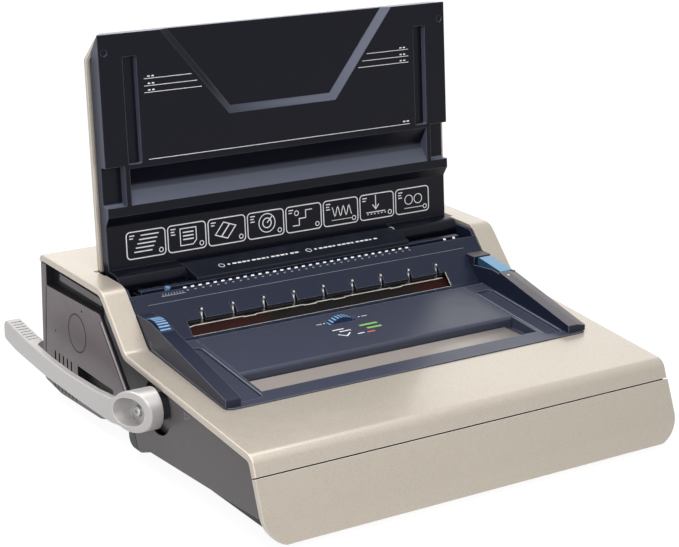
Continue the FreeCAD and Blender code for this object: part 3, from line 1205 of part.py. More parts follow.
def right_wedge():
    """Solid-topped wedge with a pocket for the rocking key and a falling outer side."""
    w = WEDGE_WALL
    key_top = wedge_z(KEY_FRONT_Y)
    foot = tray_top(WEDGE_FRONT_Y)
    floor = KEY_LOW_Z
    shelf_y = KEY_REAR_Y + 3
    outline = [(WEDGE_FRONT_Y, foot), (WEDGE_FRONT_Y, wedge_z(WEDGE_FRONT_Y), 1.5),
               (KEY_FRONT_Y - 1, key_top, 1.0), (KEY_FRONT_Y - 0.6, floor), (shelf_y, floor),
               (shelf_y, RIGHT_WEDGE_REAR_Z, 1.0), (RIGHT_WEDGE_REAR_Y, RIGHT_WEDGE_REAR_Z, 1.5),
               (RIGHT_WEDGE_REAR_Y, 125.4), slope(64.0, 3.0), (DECK_FOOT_Y, tray_top(DECK_FOOT_Y))]
    wedge = prism(outline, RIGHT_WEDGE_IN, WEDGE_OUT)
    for x in (RIGHT_WEDGE_IN, WEDGE_OUT - w):
        wedge = wedge.fuse(prism([(KEY_FRONT_Y - 2, floor - 1), (KEY_FRONT_Y - 2, key_top - 2.5),
                                  (KEY_FRONT_Y + 12, key_top - 1.0, 3.0), (shelf_y + 1, floor + 5, 3.0),
                                  (shelf_y + 1, floor - 1)], x, x + w))
    hollow = [(WEDGE_FRONT_Y + w, foot - 5), (WEDGE_FRONT_Y + w, wedge_z(WEDGE_FRONT_Y) - w),
              (KEY_FRONT_Y - 3, key_top - 3), (KEY_FRONT_Y - 3, floor - w),
              (RIGHT_WEDGE_REAR_Y - 12, floor - w), slope(63.0, 8.0), (DECK_FOOT_Y, 94.0)]
    wedge = wedge.cut(prism(hollow, RIGHT_WEDGE_IN + w, WEDGE_OUT - w))
    ridge_x = RIGHT_WEDGE_IN + RIDGE_W
    start = WEDGE_FRONT_Y - 2
    z0 = wedge_z(start)
    corners = [Vector(ridge_x, start, z0), Vector(WEDGE_OUT + 1, start, z0 - 2.2),
               Vector(WEDGE_OUT + 1, start, z0 + 3), Vector(ridge_x, start, z0 + 3)]
    face = Part.Face(Part.makePolygon(corners + corners[:1]))
    length = KEY_FRONT_Y - 1 - start
    fall = face.extrude(Vector(0, length, length * WEDGE_SLOPE))
    bore = rod_x(RIGHT_WEDGE_IN + 0.5, WEDGE_OUT - 0.5, KEY_PIVOT_Y, KEY_PIVOT_Z,
                 KEY_PIN_R + RUNNING_FIT)
    return fused([wedge]).cut(Part.makeCompound([fall, bore, lens_ball()]))


def edge_wheel():
    """Ribbed wheel whose rim stands out of the left wedge, with its axle."""
    middle = -(WEDGE_OUT + LEFT_WEDGE_IN) / 2
    x0, x1 = middle - EDGE_WHEEL_W / 2, middle + EDGE_WHEEL_W / 2
    wheel = rod_x(x0, x1, EDGE_WHEEL_Y, EDGE_WHEEL_Z, EDGE_WHEEL_R)
    count = 40
    cuts = []
    for i in range(count):
        at = polar(EDGE_WHEEL_Y, EDGE_WHEEL_Z, EDGE_WHEEL_R + 0.5, 2 * math.pi * i / count)
        cuts.append(rod_x(x0 - 1, x1 + 1, at.y, at.z, 1.3))
    wheel = wheel.cut(Part.makeCompound(cuts))
    axle = rod_x(-WEDGE_OUT + 0.1, -LEFT_WEDGE_IN - 0.1, EDGE_WHEEL_Y, EDGE_WHEEL_Z, EDGE_AXLE_R)
    return fused([wheel, axle])


def edge_guide():
    """Tab in the paper slot that stops the sheets' edge, with a pointer above the deck."""
    half = GUIDE_TAB_W / 2
    y0, y1 = PAPER_SLOT_Y + 0.4, PAPER_SLOT_Y + PAPER_SLOT_W - 0.4
    tab = box(GUIDE_TAB_X - half, GUIDE_TAB_X + half, y0, y1, THROAT_Z + 0.4, GUIDE_TAB_TOP_Z)
    head = plan_prism([(GUIDE_TAB_X - half, y0 - 1.9, 0.8), (GUIDE_TAB_X + half, y0 - 1.9, 0.8),
                       (GUIDE_TAB_X + half, y1), (GUIDE_TAB_X - half, y1)], GUIDE_TAB_TOP_Z - 1.4,
                      GUIDE_TAB_TOP_Z)
    return fused([tab, head])


def punch_key():
    """Rocking key in the right wedge, with its cross pin."""
    x0, x1 = RIGHT_WEDGE_IN + WEDGE_WALL + 0.5, WEDGE_OUT - WEDGE_WALL - 1.0
    low = KEY_PIVOT_Z - 2.2
    key = prism([(KEY_FRONT_Y, low, 1.0), (KEY_FRONT_Y, wedge_z(KEY_FRONT_Y) - 0.4, 1.5),
                 (KEY_REAR_Y, 127.4, 2.0), (KEY_REAR_Y, 119.5, 1.0), (KEY_PIVOT_Y + 6, low, 3.0)], x0, x1)
    pin = rod_x(RIGHT_WEDGE_IN + 0.7, WEDGE_OUT - 0.7, KEY_PIVOT_Y, KEY_PIVOT_Z, KEY_PIN_R)
    return fused([key, pin])


def lens_ball():
    return Part.makeSphere(LENS_R, Vector(LENS_X, LENS_Y, wedge_z(LENS_Y) - LENS_SINK))


def status_lens():
    """Small clear dome let into the right wedge's ridge."""
    top = wedge_z(LENS_Y)
    ball = lens_ball()
    above = box(LENS_X - 5, LENS_X + 5, LENS_Y - 5, LENS_Y + 5, top - 5, top + 9)
    tilt = above.copy()
    tilt.rotate(Vector(LENS_X, LENS_Y, top), Vector(1, 0, 0), math.degrees(math.atan(WEDGE_SLOPE)))
    tilt.translate(Vector(0, 0, 5))
    return ball.common(tilt)


def size_wheel():
    """Thumb wheel under the tray whose rim stands out of the tray's slot."""
    y0, y1 = SIZE_WHEEL_Y - SIZE_WHEEL_W / 2, SIZE_WHEEL_Y + SIZE_WHEEL_W / 2
    wheel = rod_y(SIZE_WHEEL_X, SIZE_WHEEL_Z, y0, y1, SIZE_WHEEL_R)
    count = 36
    cuts = []
    for i in range(count):
        turn = 2 * math.pi * i / count
        cuts.append(rod_y(SIZE_WHEEL_X + (SIZE_WHEEL_R + 0.6) * math.cos(turn),
                          SIZE_WHEEL_Z + (SIZE_WHEEL_R + 0.6) * math.sin(turn), y0 - 1, y1 + 1, 1.2))
    wheel = wheel.cut(Part.makeCompound(cuts))
    return fused([wheel, rod_y(SIZE_WHEEL_X, SIZE_WHEEL_Z, y0 - 6, y1 + 6, SIZE_SPINDLE_R)])


def wheel_bracket():
    """U-shaped hanger under the tray that carries the thumb wheel's spindle."""
    half = 9.0
    gap = SIZE_WHEEL_W / 2 + 1
    web_z = SIZE_WHEEL_Z - SIZE_WHEEL_R - 3
    parts = [box(SIZE_WHEEL_X - half, SIZE_WHEEL_X + half, SIZE_WHEEL_Y - gap - 3, SIZE_WHEEL_Y + gap + 3,
                 web_z - 2.5, web_z)]
    for y0 in (SIZE_WHEEL_Y - gap - 3, SIZE_WHEEL_Y + gap):
        parts.append(prism([(y0, web_z - 2.5), (y0 + 3, web_z - 2.5),
                            (y0 + 3, tray_top(y0 + 3, TRAY_UNDER)),
                            (y0, tray_top(y0, TRAY_UNDER))], SIZE_WHEEL_X - half, SIZE_WHEEL_X + half))
    bore = rod_y(SIZE_WHEEL_X, SIZE_WHEEL_Z, SIZE_WHEEL_Y - 20, SIZE_WHEEL_Y + 20,
                 SIZE_SPINDLE_R + RUNNING_FIT)
    return fused(parts).cut(bore)


# Closing mechanism


def closing_shaft():
    shaft = rod_x(HUB_FLOOR_X, SHAFT_RIGHT_X, HUB_Y, HUB_Z, SHAFT_R)
    return shaft.cut(rod_x(HUB_FLOOR_X - 1, HUB_FLOOR_X + LEVER_SCREW_LENGTH, HUB_Y, HUB_Z, LEVER_SCREW_R))


def closing_eccentrics():
    discs = []
    y = HUB_Y + THROW * math.cos(REST_ANGLE)
    z = HUB_Z + THROW * math.sin(REST_ANGLE)
    for side in (-1, 1):
        x0 = side * ECCENTRIC_X - ECCENTRIC_W / 2
        disc = rod_x(x0, x0 + ECCENTRIC_W, y, z, ECCENTRIC_R)
        discs.append(disc.cut(rod_x(x0 - 1, x0 + ECCENTRIC_W + 1, HUB_Y, HUB_Z, SHAFT_R)))
    return Part.makeCompound(discs)


def shaft_bushes():
    bushes = []
    spans = [(-FRAME_X - 14.7, -FRAME_X + FRAME_T), (-CHASSIS_X - CHASSIS_T, -CHASSIS_X),
             (CHASSIS_X, CHASSIS_X + CHASSIS_T)]
    for x0, x1 in spans:
        bushes.append(ring_x(x0, x1, HUB_Y, HUB_Z, SHAFT_R + 0.05, BUSH_R))
    return Part.makeCompound(bushes)


def from_shaft(up, into):
    """The (y, z) of a point up the slope and into it from the lever's shaft."""
    return (HUB_Y - up * DOWN_Y - into * DOWN_Z, HUB_Z - up * DOWN_Z + into * DOWN_Y)


def closing_bar():
    """Long plate that presses the wire, with an arm and a yoke at each end."""
    widen_s = 72.0
    half = ECCENTRIC_X + ARM_T / 2
    top, under = BAR_DEPTH, BAR_DEPTH + BAR_T
    parts = [slope_prism([(BAR_FIRST_S, top, 1.2), (BAR_LAST_S, top), (BAR_LAST_S, under),
                          (BAR_FIRST_S, under, 1.2)], CLOSING_LEFT_X + 1, CLOSING_RIGHT_X - 1),
             slope_prism([(widen_s, top), (BAR_LAST_S, top), (BAR_LAST_S, under), (widen_s, under)],
                         -half, half)]
    up_rest = THROW * (math.cos(REST_ANGLE) * -DOWN_Y + math.sin(REST_ANGLE) * -DOWN_Z)
    into_low = THROW * (math.cos(REST_ANGLE) * -DOWN_Z + math.sin(REST_ANGLE) * DOWN_Y) - 0.3
    into_high = THROW + 0.3
    window = ECCENTRIC_R + YOKE_GAP
    ring_y, ring_z = from_shaft(up_rest, (into_low + into_high) / 2)
    link_y, link_z = slope(BAR_LAST_S - 2.8, (top + under) / 2)
    run_y, run_z = link_y - ring_y, link_z - ring_z
    run = math.hypot(run_y, run_z)
    side_y, side_z = -run_z / run * ARM_HALF_W, run_y / run * ARM_HALF_W
    corners = [(ring_y + side_y, ring_z + side_z), (link_y + side_y, link_z + side_z),
               (link_y - side_y, link_z - side_z), (ring_y - side_y, ring_z - side_z)]
    low_y, low_z = from_shaft(up_rest, into_low)
    high_y, high_z = from_shaft(up_rest, into_high)
    across_y, across_z = -DOWN_Y * window, -DOWN_Z * window
    slab = [(low_y + across_y, low_z + across_z), (high_y + across_y, high_z + across_z),
            (high_y - across_y, high_z - across_z), (low_y - across_y, low_z - across_z)]
    for side in (-1, 1):
        x0 = side * ECCENTRIC_X - ARM_T / 2
        x1 = x0 + ARM_T
        arm = fused([prism(corners, x0, x1), rod_x(x0, x1, ring_y, ring_z, YOKE_R)])
        window_parts = [rod_x(x0 - 1, x1 + 1, low_y, low_z, window),
                        rod_x(x0 - 1, x1 + 1, high_y, high_z, window), prism(slab, x0 - 1, x1 + 1)]
        parts.append(arm.cut(fused(window_parts)))
    return fused(parts)


def wire_comb():
    """Plate behind the closing slot that carries the hooks; its bright edge steps between them."""
    far = COMB_DEPTH + COMB_T
    comb = slope_prism([(COMB_TOP_S, COMB_DEPTH), (COMB_LOW_S, COMB_DEPTH), (COMB_LOW_S, far),
                        (COMB_TOP_S, far)], COMB_LEFT_X, COMB_RIGHT_X)
    ears = slope_prism([(COMB_EAR_S, COMB_DEPTH), (COMB_LOW_S, COMB_DEPTH), (COMB_LOW_S, far),
                        (COMB_EAR_S, far)], -CHASSIS_X, CHASSIS_X)
    cuts = []
    for i in (1, 3, 4, 6):
        x = (HOOK_XS[i] + HOOK_XS[i + 1]) / 2
        cuts.append(slope_prism([(COMB_TOP_S - 1, COMB_DEPTH - 1), (COMB_TOP_S + COMB_STEP, COMB_DEPTH - 1),
                                 (COMB_TOP_S + COMB_STEP, far + 1), (COMB_TOP_S - 1, far + 1)],
                                x - 7, x + 7))
    return fused([comb, ears]).cut(Part.makeCompound(cuts))


def wire_hooks():
    """Nine thin blades that rise from the comb and hook forward over the slot's upper edge."""
    far = COMB_DEPTH + COMB_T + HOOK_HALF
    path = [slope(60.0, far), slope(48.0, far) + (2.0,), slope(44.5, 7.2) + (2.0,),
            slope(38.9, 3.8) + (2.0,), slope(37.3, 1.6)]
    outline = band(path, -HOOK_HALF, HOOK_HALF)
    tip_y, tip_z = slope(37.1, 1.4)
    hooks = []
    for x in HOOK_XS:
        blade = prism(outline, x - HOOK_T / 2, x + HOOK_T / 2)
        hooks.append(fused([blade, rod_x(x - HOOK_T / 2, x + HOOK_T / 2, tip_y, tip_z, 1.5)]))
    return Part.makeCompound(hooks)


def closing_anvil():
    """Bar under the deck that the wire is pressed against, notched for the hooks."""
    first, last, rear = 40.0, 47.6, 37.0
    anvil = slope_prism([(rear, deck_under(rear)), (last, deck_under(last)), (last, 8.4), (44.0, 10.4),
                         (rear, 10.4)], CLOSING_LEFT_X, CLOSING_RIGHT_X)
    notch = [(rear - 3, -1), (last + 2, -1), (last + 2, 13), (46.9, 12.6), (43.3, 8.25), (first - 2.2, 4.8),
             (rear - 3, 3.6)]
    cuts = [slope_prism(notch, x - HOOK_NOTCH_W / 2, x + HOOK_NOTCH_W / 2) for x in HOOK_XS]
    return anvil.cut(Part.makeCompound(cuts))


# Hand lever

def arm_top(y):
    """Height of the grip's straight top between the arm's last bend and the tip."""
    bend_y, bend_z = HUB_Y + ARM_TOP[-1][0], HUB_Z + ARM_TOP[-1][1]
    return bend_z + (y - bend_y) * (LEVER_TIP_TOP_Z - bend_z) / (LEVER_TIP_Y - bend_y)


def lever():
    """Cast lever: a round hub cut back at the front, a thin flat arm and a wide ribbed grip."""
    x0, x1 = LEVER_OUT_X, LEVER_OUT_X + LEVER_T
    arm_outline = [(HUB_Y + 4, HUB_Z + 14.0)]
    arm_outline += [(HUB_Y + run, HUB_Z + rise, r) for run, rise, r in ARM_TOP]
    arm_outline += [(LEVER_TIP_Y, LEVER_TIP_TOP_Z, 6.0), (LEVER_TIP_Y, LEVER_TIP_LOW_Z, 6.0)]
    arm_outline += [(HUB_Y + run, HUB_Z + rise, r) for run, rise, r in ARM_LOW]
    arm_outline.append((HUB_Y + 4, HUB_Z - 17.0))
    arm = prism(arm_outline, x0, x1)
    rims = edges_where(arm, lambda e: e.BoundBox.XMax - e.BoundBox.XMin < 0.1
                       and e.BoundBox.YMin > HUB_Y + 4.1)
    arm = arm.makeFillet(2.4, rims)
    inner_x = x0 + LEVER_ARM_T
    arm = arm.cut(plan_prism([(inner_x, HUB_Y), (inner_x, PAD_FRONT_Y, 7.0), (x1 + 1, PAD_FRONT_Y + 8),
                              (x1 + 1, HUB_Y)], 0, LEVER_TIP_TOP_Z + 9))
    slant_x, slant_y = 23.0, 40.0
    over = 0.25
    back = (x0 - slant_x * over, HUB_Y + 20 + slant_y * over)
    fore = (x0 + slant_x * (1 + over), HUB_Y + 20 - slant_y * (1 + over))
    front = plan_prism([fore, back, (x0 - 20, back[1]), (x0 - 20, fore[1])], 0, HUB_Z + 50)
    hub = rod_x(x0, HUB_IN_X, HUB_Y, HUB_Z, HUB_R).cut(front)
    hub = hub.makeFillet(2.4, edges_where(hub, lambda e: e.BoundBox.XMax < HUB_IN_X - 8
                                          and e.BoundBox.XMax - e.BoundBox.XMin > 5))
    body = fused([arm.cut(front), hub])
    pocket = [rod_x(x0 - 1, HUB_FLOOR_X, HUB_Y, HUB_Z, HUB_POCKET_R),
              rod_x(x0 - 1, HUB_FLOOR_X, HUB_Y + HUB_POCKET_SHIFT, HUB_Z, HUB_POCKET_R)]
    cuts = [fused(pocket), rod_x(HUB_FLOOR_X - 1, HUB_IN_X + 1, HUB_Y, HUB_Z, SHAFT_R)]
    for i in range(GRIP_RIDGES):
        y = GRIP_FRONT_Y + i * GRIP_PITCH
        z = arm_top(y)
        cuts.append(box(x0 + GRIP_MARGIN, x1 - GRIP_MARGIN, y, y + GRIP_GROOVE,
                        z - GRIP_GROOVE_DEPTH, z + 5))
    return body.cut(Part.makeCompound(cuts))


def lever_screw():
    head = rod_x(HUB_FLOOR_X - 3.5, HUB_FLOOR_X, HUB_Y, HUB_Z, 5.5)
    head = head.makeFillet(1.4, edges_where(head, lambda e: e.BoundBox.XMax < HUB_FLOOR_X - 3))
    x = HUB_FLOOR_X - 3.5
    cross = [box(x - 1, x + 1.6, HUB_Y - 2.6, HUB_Y + 2.6, HUB_Z - 0.6, HUB_Z + 0.6),
             box(x - 1, x + 1.6, HUB_Y - 0.6, HUB_Y + 0.6, HUB_Z - 2.6, HUB_Z + 2.6)]
    shank = rod_x(HUB_FLOOR_X, HUB_FLOOR_X + LEVER_SCREW_LENGTH, HUB_Y, HUB_Z, LEVER_SCREW_R)
    return fused([head.cut(Part.makeCompound(cross)), shank])


def lever_flange():
    """Round plate on the left side frame with the boss that the lever turns against."""
    x0 = -FRAME_X - FLANGE_T
    plate = rod_x(x0, -FRAME_X, HUB_Y, HUB_Z, BAY_R - 0.5)
    plate = plate.cut(box(x0 - 1, -FRAME_X + 1, HUB_Y - 40, HUB_Y + 40, under_lip(HUB_Y) - 1.0, 200))
    boss = rod_x(-FRAME_X - 14.7, -FRAME_X, HUB_Y, HUB_Z, 13.0)
    cuts = [rod_x(-SIDE_X - 20, -FRAME_X + 1, HUB_Y, HUB_Z, BUSH_R)]
    cuts += [rod_x(x0 - 1, -FRAME_X + 1, y, z, FLANGE_SCREW_R) for y, z in FLANGE_SCREWS]
    return fused([plate, boss]).cut(Part.makeCompound(cuts))


def flange_screws():
    screws = []
    x0 = -FRAME_X - FLANGE_T
    for y, z in FLANGE_SCREWS:
        head = rod_x(x0 - 2, x0, y, z, 3.0)
        head = head.makeFillet(0.8, edges_where(head, lambda e: e.BoundBox.XMax < x0 - 1))
        slot = box(x0 - 3, x0 - 1.2, y - 2, y + 2, z - 0.4, z + 0.4)
        screws.append(fused([head.cut(slot), rod_x(x0, -FRAME_X - 0.1, y, z, FLANGE_SCREW_R)]))
    return screws


# Lid and hinge

def hinge_bridge():
    """Fixed middle barrel of the hinge with the flat cover that runs to the paper slot."""
    front = PAPER_SLOT_Y + PAPER_SLOT_W
    lean = math.atan(WEDGE_SLOPE)
    touch_y = PIVOT_Y - BRIDGE_R * math.sin(lean)
    touch_z = PIVOT_Z + BRIDGE_R * math.cos(lean)
    front_z = touch_z - (touch_y - front) * WEDGE_SLOPE
    cover = prism([(front, GUIDE_TOP_Z), (front, front_z, 1.2), (touch_y, touch_z), (PIVOT_Y, PIVOT_Z)],
                  BRIDGE_LEFT_X, BRIDGE_RIGHT_X)
    barrel = rod_x(BRIDGE_LEFT_X, BRIDGE_RIGHT_X, PIVOT_Y, PIVOT_Z, BRIDGE_R)
    bore = rod_x(BRIDGE_LEFT_X - 1, BRIDGE_RIGHT_X + 1, PIVOT_Y, PIVOT_Z, ROD_R)
    return fused([cover, barrel]).cut(bore)


def hinge_rod():
    return rod_x(-DECK_HALF, DECK_HALF, PIVOT_Y, PIVOT_Z, ROD_R)


def placed_lid(shape):
    """Takes a shape from the lid's own frame (Y the depth, Z up along it) to the open lid."""
    shape.rotate(Vector(0, 0, 0), Vector(1, 0, 0), -LID_LEAN)
    shape.translate(Vector(0, LID_FOOT_Y, LID_FOOT_Z))
    return shape


def lid_outline(inset):
    """Front view of the lid's outer sheet, moved inwards at the sides and the top."""
    h, t, low = LID_SHELL_HALF - inset, LID_SHELL_TOP_S - inset, LID_SHELL_BOTTOM_S
    r = 0.5 if inset else 3.0
    low = low - 1 if inset else low
    return [(-h, low, r), (h, low, r), (h, t - LID_CORNER_S, r), (h - LID_CORNER_X, t, r),
            (-h + LID_CORNER_X, t, r), (-h, t - LID_CORNER_S, r)]


def lid_shell():
    """Outer sheet of the lid with a shallow rim and cut corners at the top."""
    shell = front_prism(lid_outline(0), LID_SHELL_RIM_D, LID_SHELL_D)
    inner = lid_outline(LID_SHELL_T)
    shell = shell.cut(front_prism(inner, LID_SHELL_RIM_D - 1, LID_BACK_D))
    back = edges_where(shell, lambda e: abs(e.BoundBox.YMin - LID_SHELL_D) < 1e-3)
    return placed_lid(shell.makeFillet(1.6, back))


def depth_prism(points, x_low, x_high):
    """A prism of a section through the lid, given as (s, d, radius) corners."""
    return prism([(p[1], p[0]) + tuple(p[2:]) for p in points], x_low, x_high)


def lid_panel():
    """Moulded inner face of the lid with its recesses, and the two outer hinge barrels."""
    top, low, back = LID_TOP_S, LID_BOTTOM_S, LID_BACK_D
    panel = front_prism([(-LID_HALF, low), (LID_HALF, low), (LID_HALF, top), (-LID_HALF, top)], 0, back)
    cuts = [depth_prism([(low - 1, -1), (low - 1, BAND_DEPTH), (BAND_TOP_S, BAND_DEPTH, 3.0),
                         (BAND_STEP_S, 0.0), (BAND_STEP_S, -1)], -LID_HALF - 1, LID_HALF + 1),
            depth_prism([(TROUGH_LOW_S, -1), (TROUGH_LOW_S, 0), (TROUGH_DEEP_S - 6, TROUGH_DEEP_D - 2, 8.0),
                         (TROUGH_DEEP_S, TROUGH_DEEP_D, 3.0), (TROUGH_HIGH_S, 0), (TROUGH_HIGH_S, -1)],
                        -TROUGH_HALF, TROUGH_HALF)]
    for side in (-1, 1):
        x0, x1 = sorted([side * GROOVE_IN, side * GROOVE_OUT])
        cuts.append(front_prism([(x0, GROOVE_LOW_S, 1.5), (x1, GROOVE_LOW_S, 1.5), (x1, GROOVE_HIGH_S, 1.5),
                                 (x0, GROOVE_HIGH_S, 1.5)], -1, GROOVE_DEPTH))
        x0, x1 = sorted([side * POCKET_IN, side * (LID_HALF + 1)])
        cuts.append(depth_prism([(TROUGH_LOW_S, -1), (TROUGH_LOW_S, 9.5, 3.0), (POCKET_HIGH_S, 9.5, 3.0),
                                 (POCKET_HIGH_S, -1)], x0, x1))
        cuts.append(rod_y(side * DIMPLE_X, DIMPLE_S, -1, 1.2, DIMPLE_R))
        tip = Vector(side * (LID_HALF + 0.2), back + 0.2, top + 0.2)
        near = Vector(side * (LID_HALF + 0.2), -0.2, top + 0.2)
        down = Vector(side * (LID_HALF + 0.2), back + 0.2, top - 21)
        along = Vector(side * (LID_HALF - 13), back + 0.2, top + 0.2)
        faces = [Part.Face(Part.makePolygon([a, b, c, a]))
                 for a, b, c in ((tip, near, down), (tip, down, along), (tip, along, near),
                                 (near, along, down))]
        cuts.append(Part.makeSolid(Part.makeShell(faces)))
    cuts.append(crest_recess())
    room = box(-LID_HALF - 1, LID_HALF + 1, LID_SHELL_RIM_D - 0.4, back + 1, top - 60, top + 1)
    cuts.append(room.cut(front_prism(lid_outline(LID_SHELL_T + PIECE_GAP), 0, back + 2)))
    pockets = [(-LID_HALF + 4, LID_HALF - 4, low + 8, 34.0, BAND_DEPTH + 2.4),
               (-TROUGH_HALF, TROUGH_HALF, 60.0, 92.0, TROUGH_DEEP_D + 2.4),
               (-GROOVE_IN + 3, GROOVE_IN - 3, 100.0, top - 8, CREST_DEPTH + 2.4),
               (-LID_HALF + 4, -GROOVE_IN - 3, 102.0, top - 26, GROOVE_DEPTH + 2.4),
               (GROOVE_IN + 3, LID_HALF - 4, 102.0, top - 26, GROOVE_DEPTH + 2.4)]
    for x0, x1, s0, s1, d in pockets:
        cuts.append(front_prism([(x0, s0, 3.0), (x1, s0, 3.0), (x1, s1, 3.0), (x0, s1, 3.0)], d, back + 1))
    panel = placed_lid(panel.cut(Part.makeCompound(cuts)))
    lug = [(PIVOT_Y, PIVOT_Z + BARREL_R), (107.2, 151.6), (112.0, 149.0), (112.0, PIVOT_Z),
           (PIVOT_Y + 6, PIVOT_Z - 8)]
    parts = [panel]
    for x0, x1 in BARREL_SPANS:
        parts.append(rod_x(x0, x1, PIVOT_Y, PIVOT_Z, BARREL_R))
        parts.append(prism(lug, x0, x1))
    bores = [rod_x(x0 - 1, x1 + 1, PIVOT_Y, PIVOT_Z, ROD_R + RUNNING_FIT) for x0, x1 in BARREL_SPANS]
    return fused(parts).cut(Part.makeCompound(bores))


def crest_recess():
    """Wide shallow recess at the lid's top, narrower below, with bevelled sides."""
    def section(d, grow):
        slant = (CREST_HALF_TOP - CREST_HALF_LOW) / (CREST_TOP_S - CREST_LOW_S)
        low = CREST_LOW_S - grow
        half_low = CREST_HALF_LOW + grow * 0.6
        high = LID_TOP_S + 6
        half_high = half_low + slant * (high - low)
        return Part.makePolygon([Vector(-half_low, d, low), Vector(half_low, d, low),
                                 Vector(half_high, d, high), Vector(-half_high, d, high),
                                 Vector(-half_low, d, low)])
    front = section(-0.5, CREST_BEVEL * 0.1)
    floor = section(CREST_DEPTH, -CREST_BEVEL)
    return Part.makeLoft([front, floor], True, True)


def write_parts():
    shapes = {
        "top_shell": top_shell(), "front_fascia": front_fascia(), "base_pan": base_pan(), "feet": feet(),
        "case_screws": Part.makeCompound(base_screws() + flange_screws()),
        "left_front_wall": front_wall(True),
        "right_front_wall": mirrored(front_wall(False)), "left_mid_panel": mid_panel(True),
        "right_mid_panel": mirrored(mid_panel(False)), "left_rear_cover": left_rear_cover(),
        "right_rear_cover": right_rear_cover(), "left_side_frame": left_side_frame(),
        "right_side_frame": right_side_frame(), "rear_panel": rear_panel(), "deck_panel": deck_panel(),
        "punch_die": punch_die(), "punch_guide": punch_guide(), "punch_pins": punch_pins(),
        "pin_holder": pin_holder(), "pressure_bar": pressure_bar(), "camshaft": camshaft(),
        "punch_cams": punch_cams(), "drive_gear": drive_gear(), "idler_gear": idler_gear(),
        "motor_pinion": motor_pinion(), "motor": motor(), "gearbox_plate": gearbox_plate(),
        "left_chassis_plate": left_chassis_plate(), "right_chassis_plate": right_chassis_plate(),
        "chip_chute": chip_chute(), "chip_drawer": chip_drawer(), "control_board": control_board(),
        "power_inlet": power_inlet(), "switch_frame": switch_frame(), "power_switch": power_switch(),
        "tray_panel": tray_panel(), "bed_frame": bed_frame(), "channel_strip": channel_strip(),
        "left_wedge": left_wedge(), "right_wedge": right_wedge(), "edge_wheel": edge_wheel(),
        "edge_guide": edge_guide(), "punch_key": punch_key(), "status_lens": status_lens(),
        "size_wheel": size_wheel(), "wheel_bracket": wheel_bracket(), "closing_shaft": closing_shaft(),
        "closing_eccentrics": closing_eccentrics(), "shaft_bushes": shaft_bushes(),
        "closing_bar": closing_bar(), "wire_comb": wire_comb(), "wire_hooks": wire_hooks(),
        "closing_anvil": closing_anvil(), "lever": lever(), "lever_screw": lever_screw(),
        "lever_flange": lever_flange(), "hinge_bridge": hinge_bridge(),
        "hinge_rod": hinge_rod(), "lid_shell": lid_shell(), "lid_panel": lid_panel(),
    }
    os.makedirs("parts", exist_ok=True)
    for node, shape in shapes.items():
        shape.translate(ORIGIN_SHIFT)
        shape.exportStep("parts/" + node + ".step")


write_parts()
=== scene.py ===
# %% [markdown]
# A desk machine that punches paper and closes wire spines, seen from its front left with the lid
# open. The solid model is loaded first and stays where it is, because it holds the real sizes.
# This lesson gives every solid its finish, adds the printed marks and the finest forms, and then
# sets up the camera and the light.

# %% Load the solid model
import math
import bpy
import numpy as np
from mathutils import Matrix, Vector


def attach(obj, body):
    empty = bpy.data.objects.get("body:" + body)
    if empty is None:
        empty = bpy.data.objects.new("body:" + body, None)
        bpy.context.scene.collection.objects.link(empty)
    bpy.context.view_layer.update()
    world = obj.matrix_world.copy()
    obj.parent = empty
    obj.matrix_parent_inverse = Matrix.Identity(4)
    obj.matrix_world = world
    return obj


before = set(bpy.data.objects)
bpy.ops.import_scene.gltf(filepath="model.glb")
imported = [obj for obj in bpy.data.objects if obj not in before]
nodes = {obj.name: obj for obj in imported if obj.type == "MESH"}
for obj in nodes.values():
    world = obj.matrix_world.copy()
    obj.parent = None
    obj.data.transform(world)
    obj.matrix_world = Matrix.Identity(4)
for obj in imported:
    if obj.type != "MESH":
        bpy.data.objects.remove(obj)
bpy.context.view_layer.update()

# %% [markdown]
# The machine was drawn about the middle of its casing, and the model's origin is the middle of
# its whole footprint, lever included. Every place could be written in the model's own metres.
# One shift and one division let the lesson keep the drawing's millimetres instead, which are
# easier to read and to change.

# %% From drawing millimetres to scene metres
SHIFT = np.array([19.0, 16.25, 0.0])
X, Y, Z = 0, 1, 2


def place(points):
    """Rows of drawing (x, y, z) in millimetres, moved by the shift and divided by 1000."""
    return (np.asarray(points, dtype=float) + SHIFT) / 1000.0


print("the drawing's origin in metres:", place([0.0, 0.0, 0.0]).tolist())

# %% [markdown]
# Finishes come next, and they are built of nodes. The nodes could be wired by hand in Blender's
# editor, but then the scene couldn't be made again from this file. In a script each node takes
# several lines, so a few helpers make the common ones: a link or a plain value on a socket, a
# group with named inputs and outputs, a Math node and a Noise Texture.

# %% Helpers for nodes
def feed(tree, socket, value):
    """Link an input to another node's output, or write a plain value on it."""
    if isinstance(value, bpy.types.NodeSocket):
        tree.links.new(value, socket)
    else:
        socket.default_value = value


def new_group(name, inputs, outputs):
    """A shader node group with number inputs {name: default} and number outputs [name]."""
    group = bpy.data.node_groups.new(name, "ShaderNodeTree")
    for label, value in inputs.items():
        socket = group.interface.new_socket(label, in_out="INPUT", socket_type="NodeSocketFloat")
        socket.default_value = value
    for label in outputs:
        group.interface.new_socket(label, in_out="OUTPUT", socket_type="NodeSocketFloat")
    given = group.nodes.new("NodeGroupInput").outputs
    return group, given, group.nodes.new("NodeGroupOutput").inputs


def math_node(tree, operation, *values, clamp=False):
    """A Math node whose values are sockets or plain numbers; gives its output."""
    node = tree.nodes.new("ShaderNodeMath")
    node.operation = operation
    node.use_clamp = clamp
    for socket, value in zip(node.inputs, values):
        feed(tree, socket, value)
    return node.outputs[0]


def object_point(tree):
    """The place on the surface in the piece's own coordinates, in metres."""
    return tree.nodes.new("ShaderNodeTexCoord").outputs["Object"]


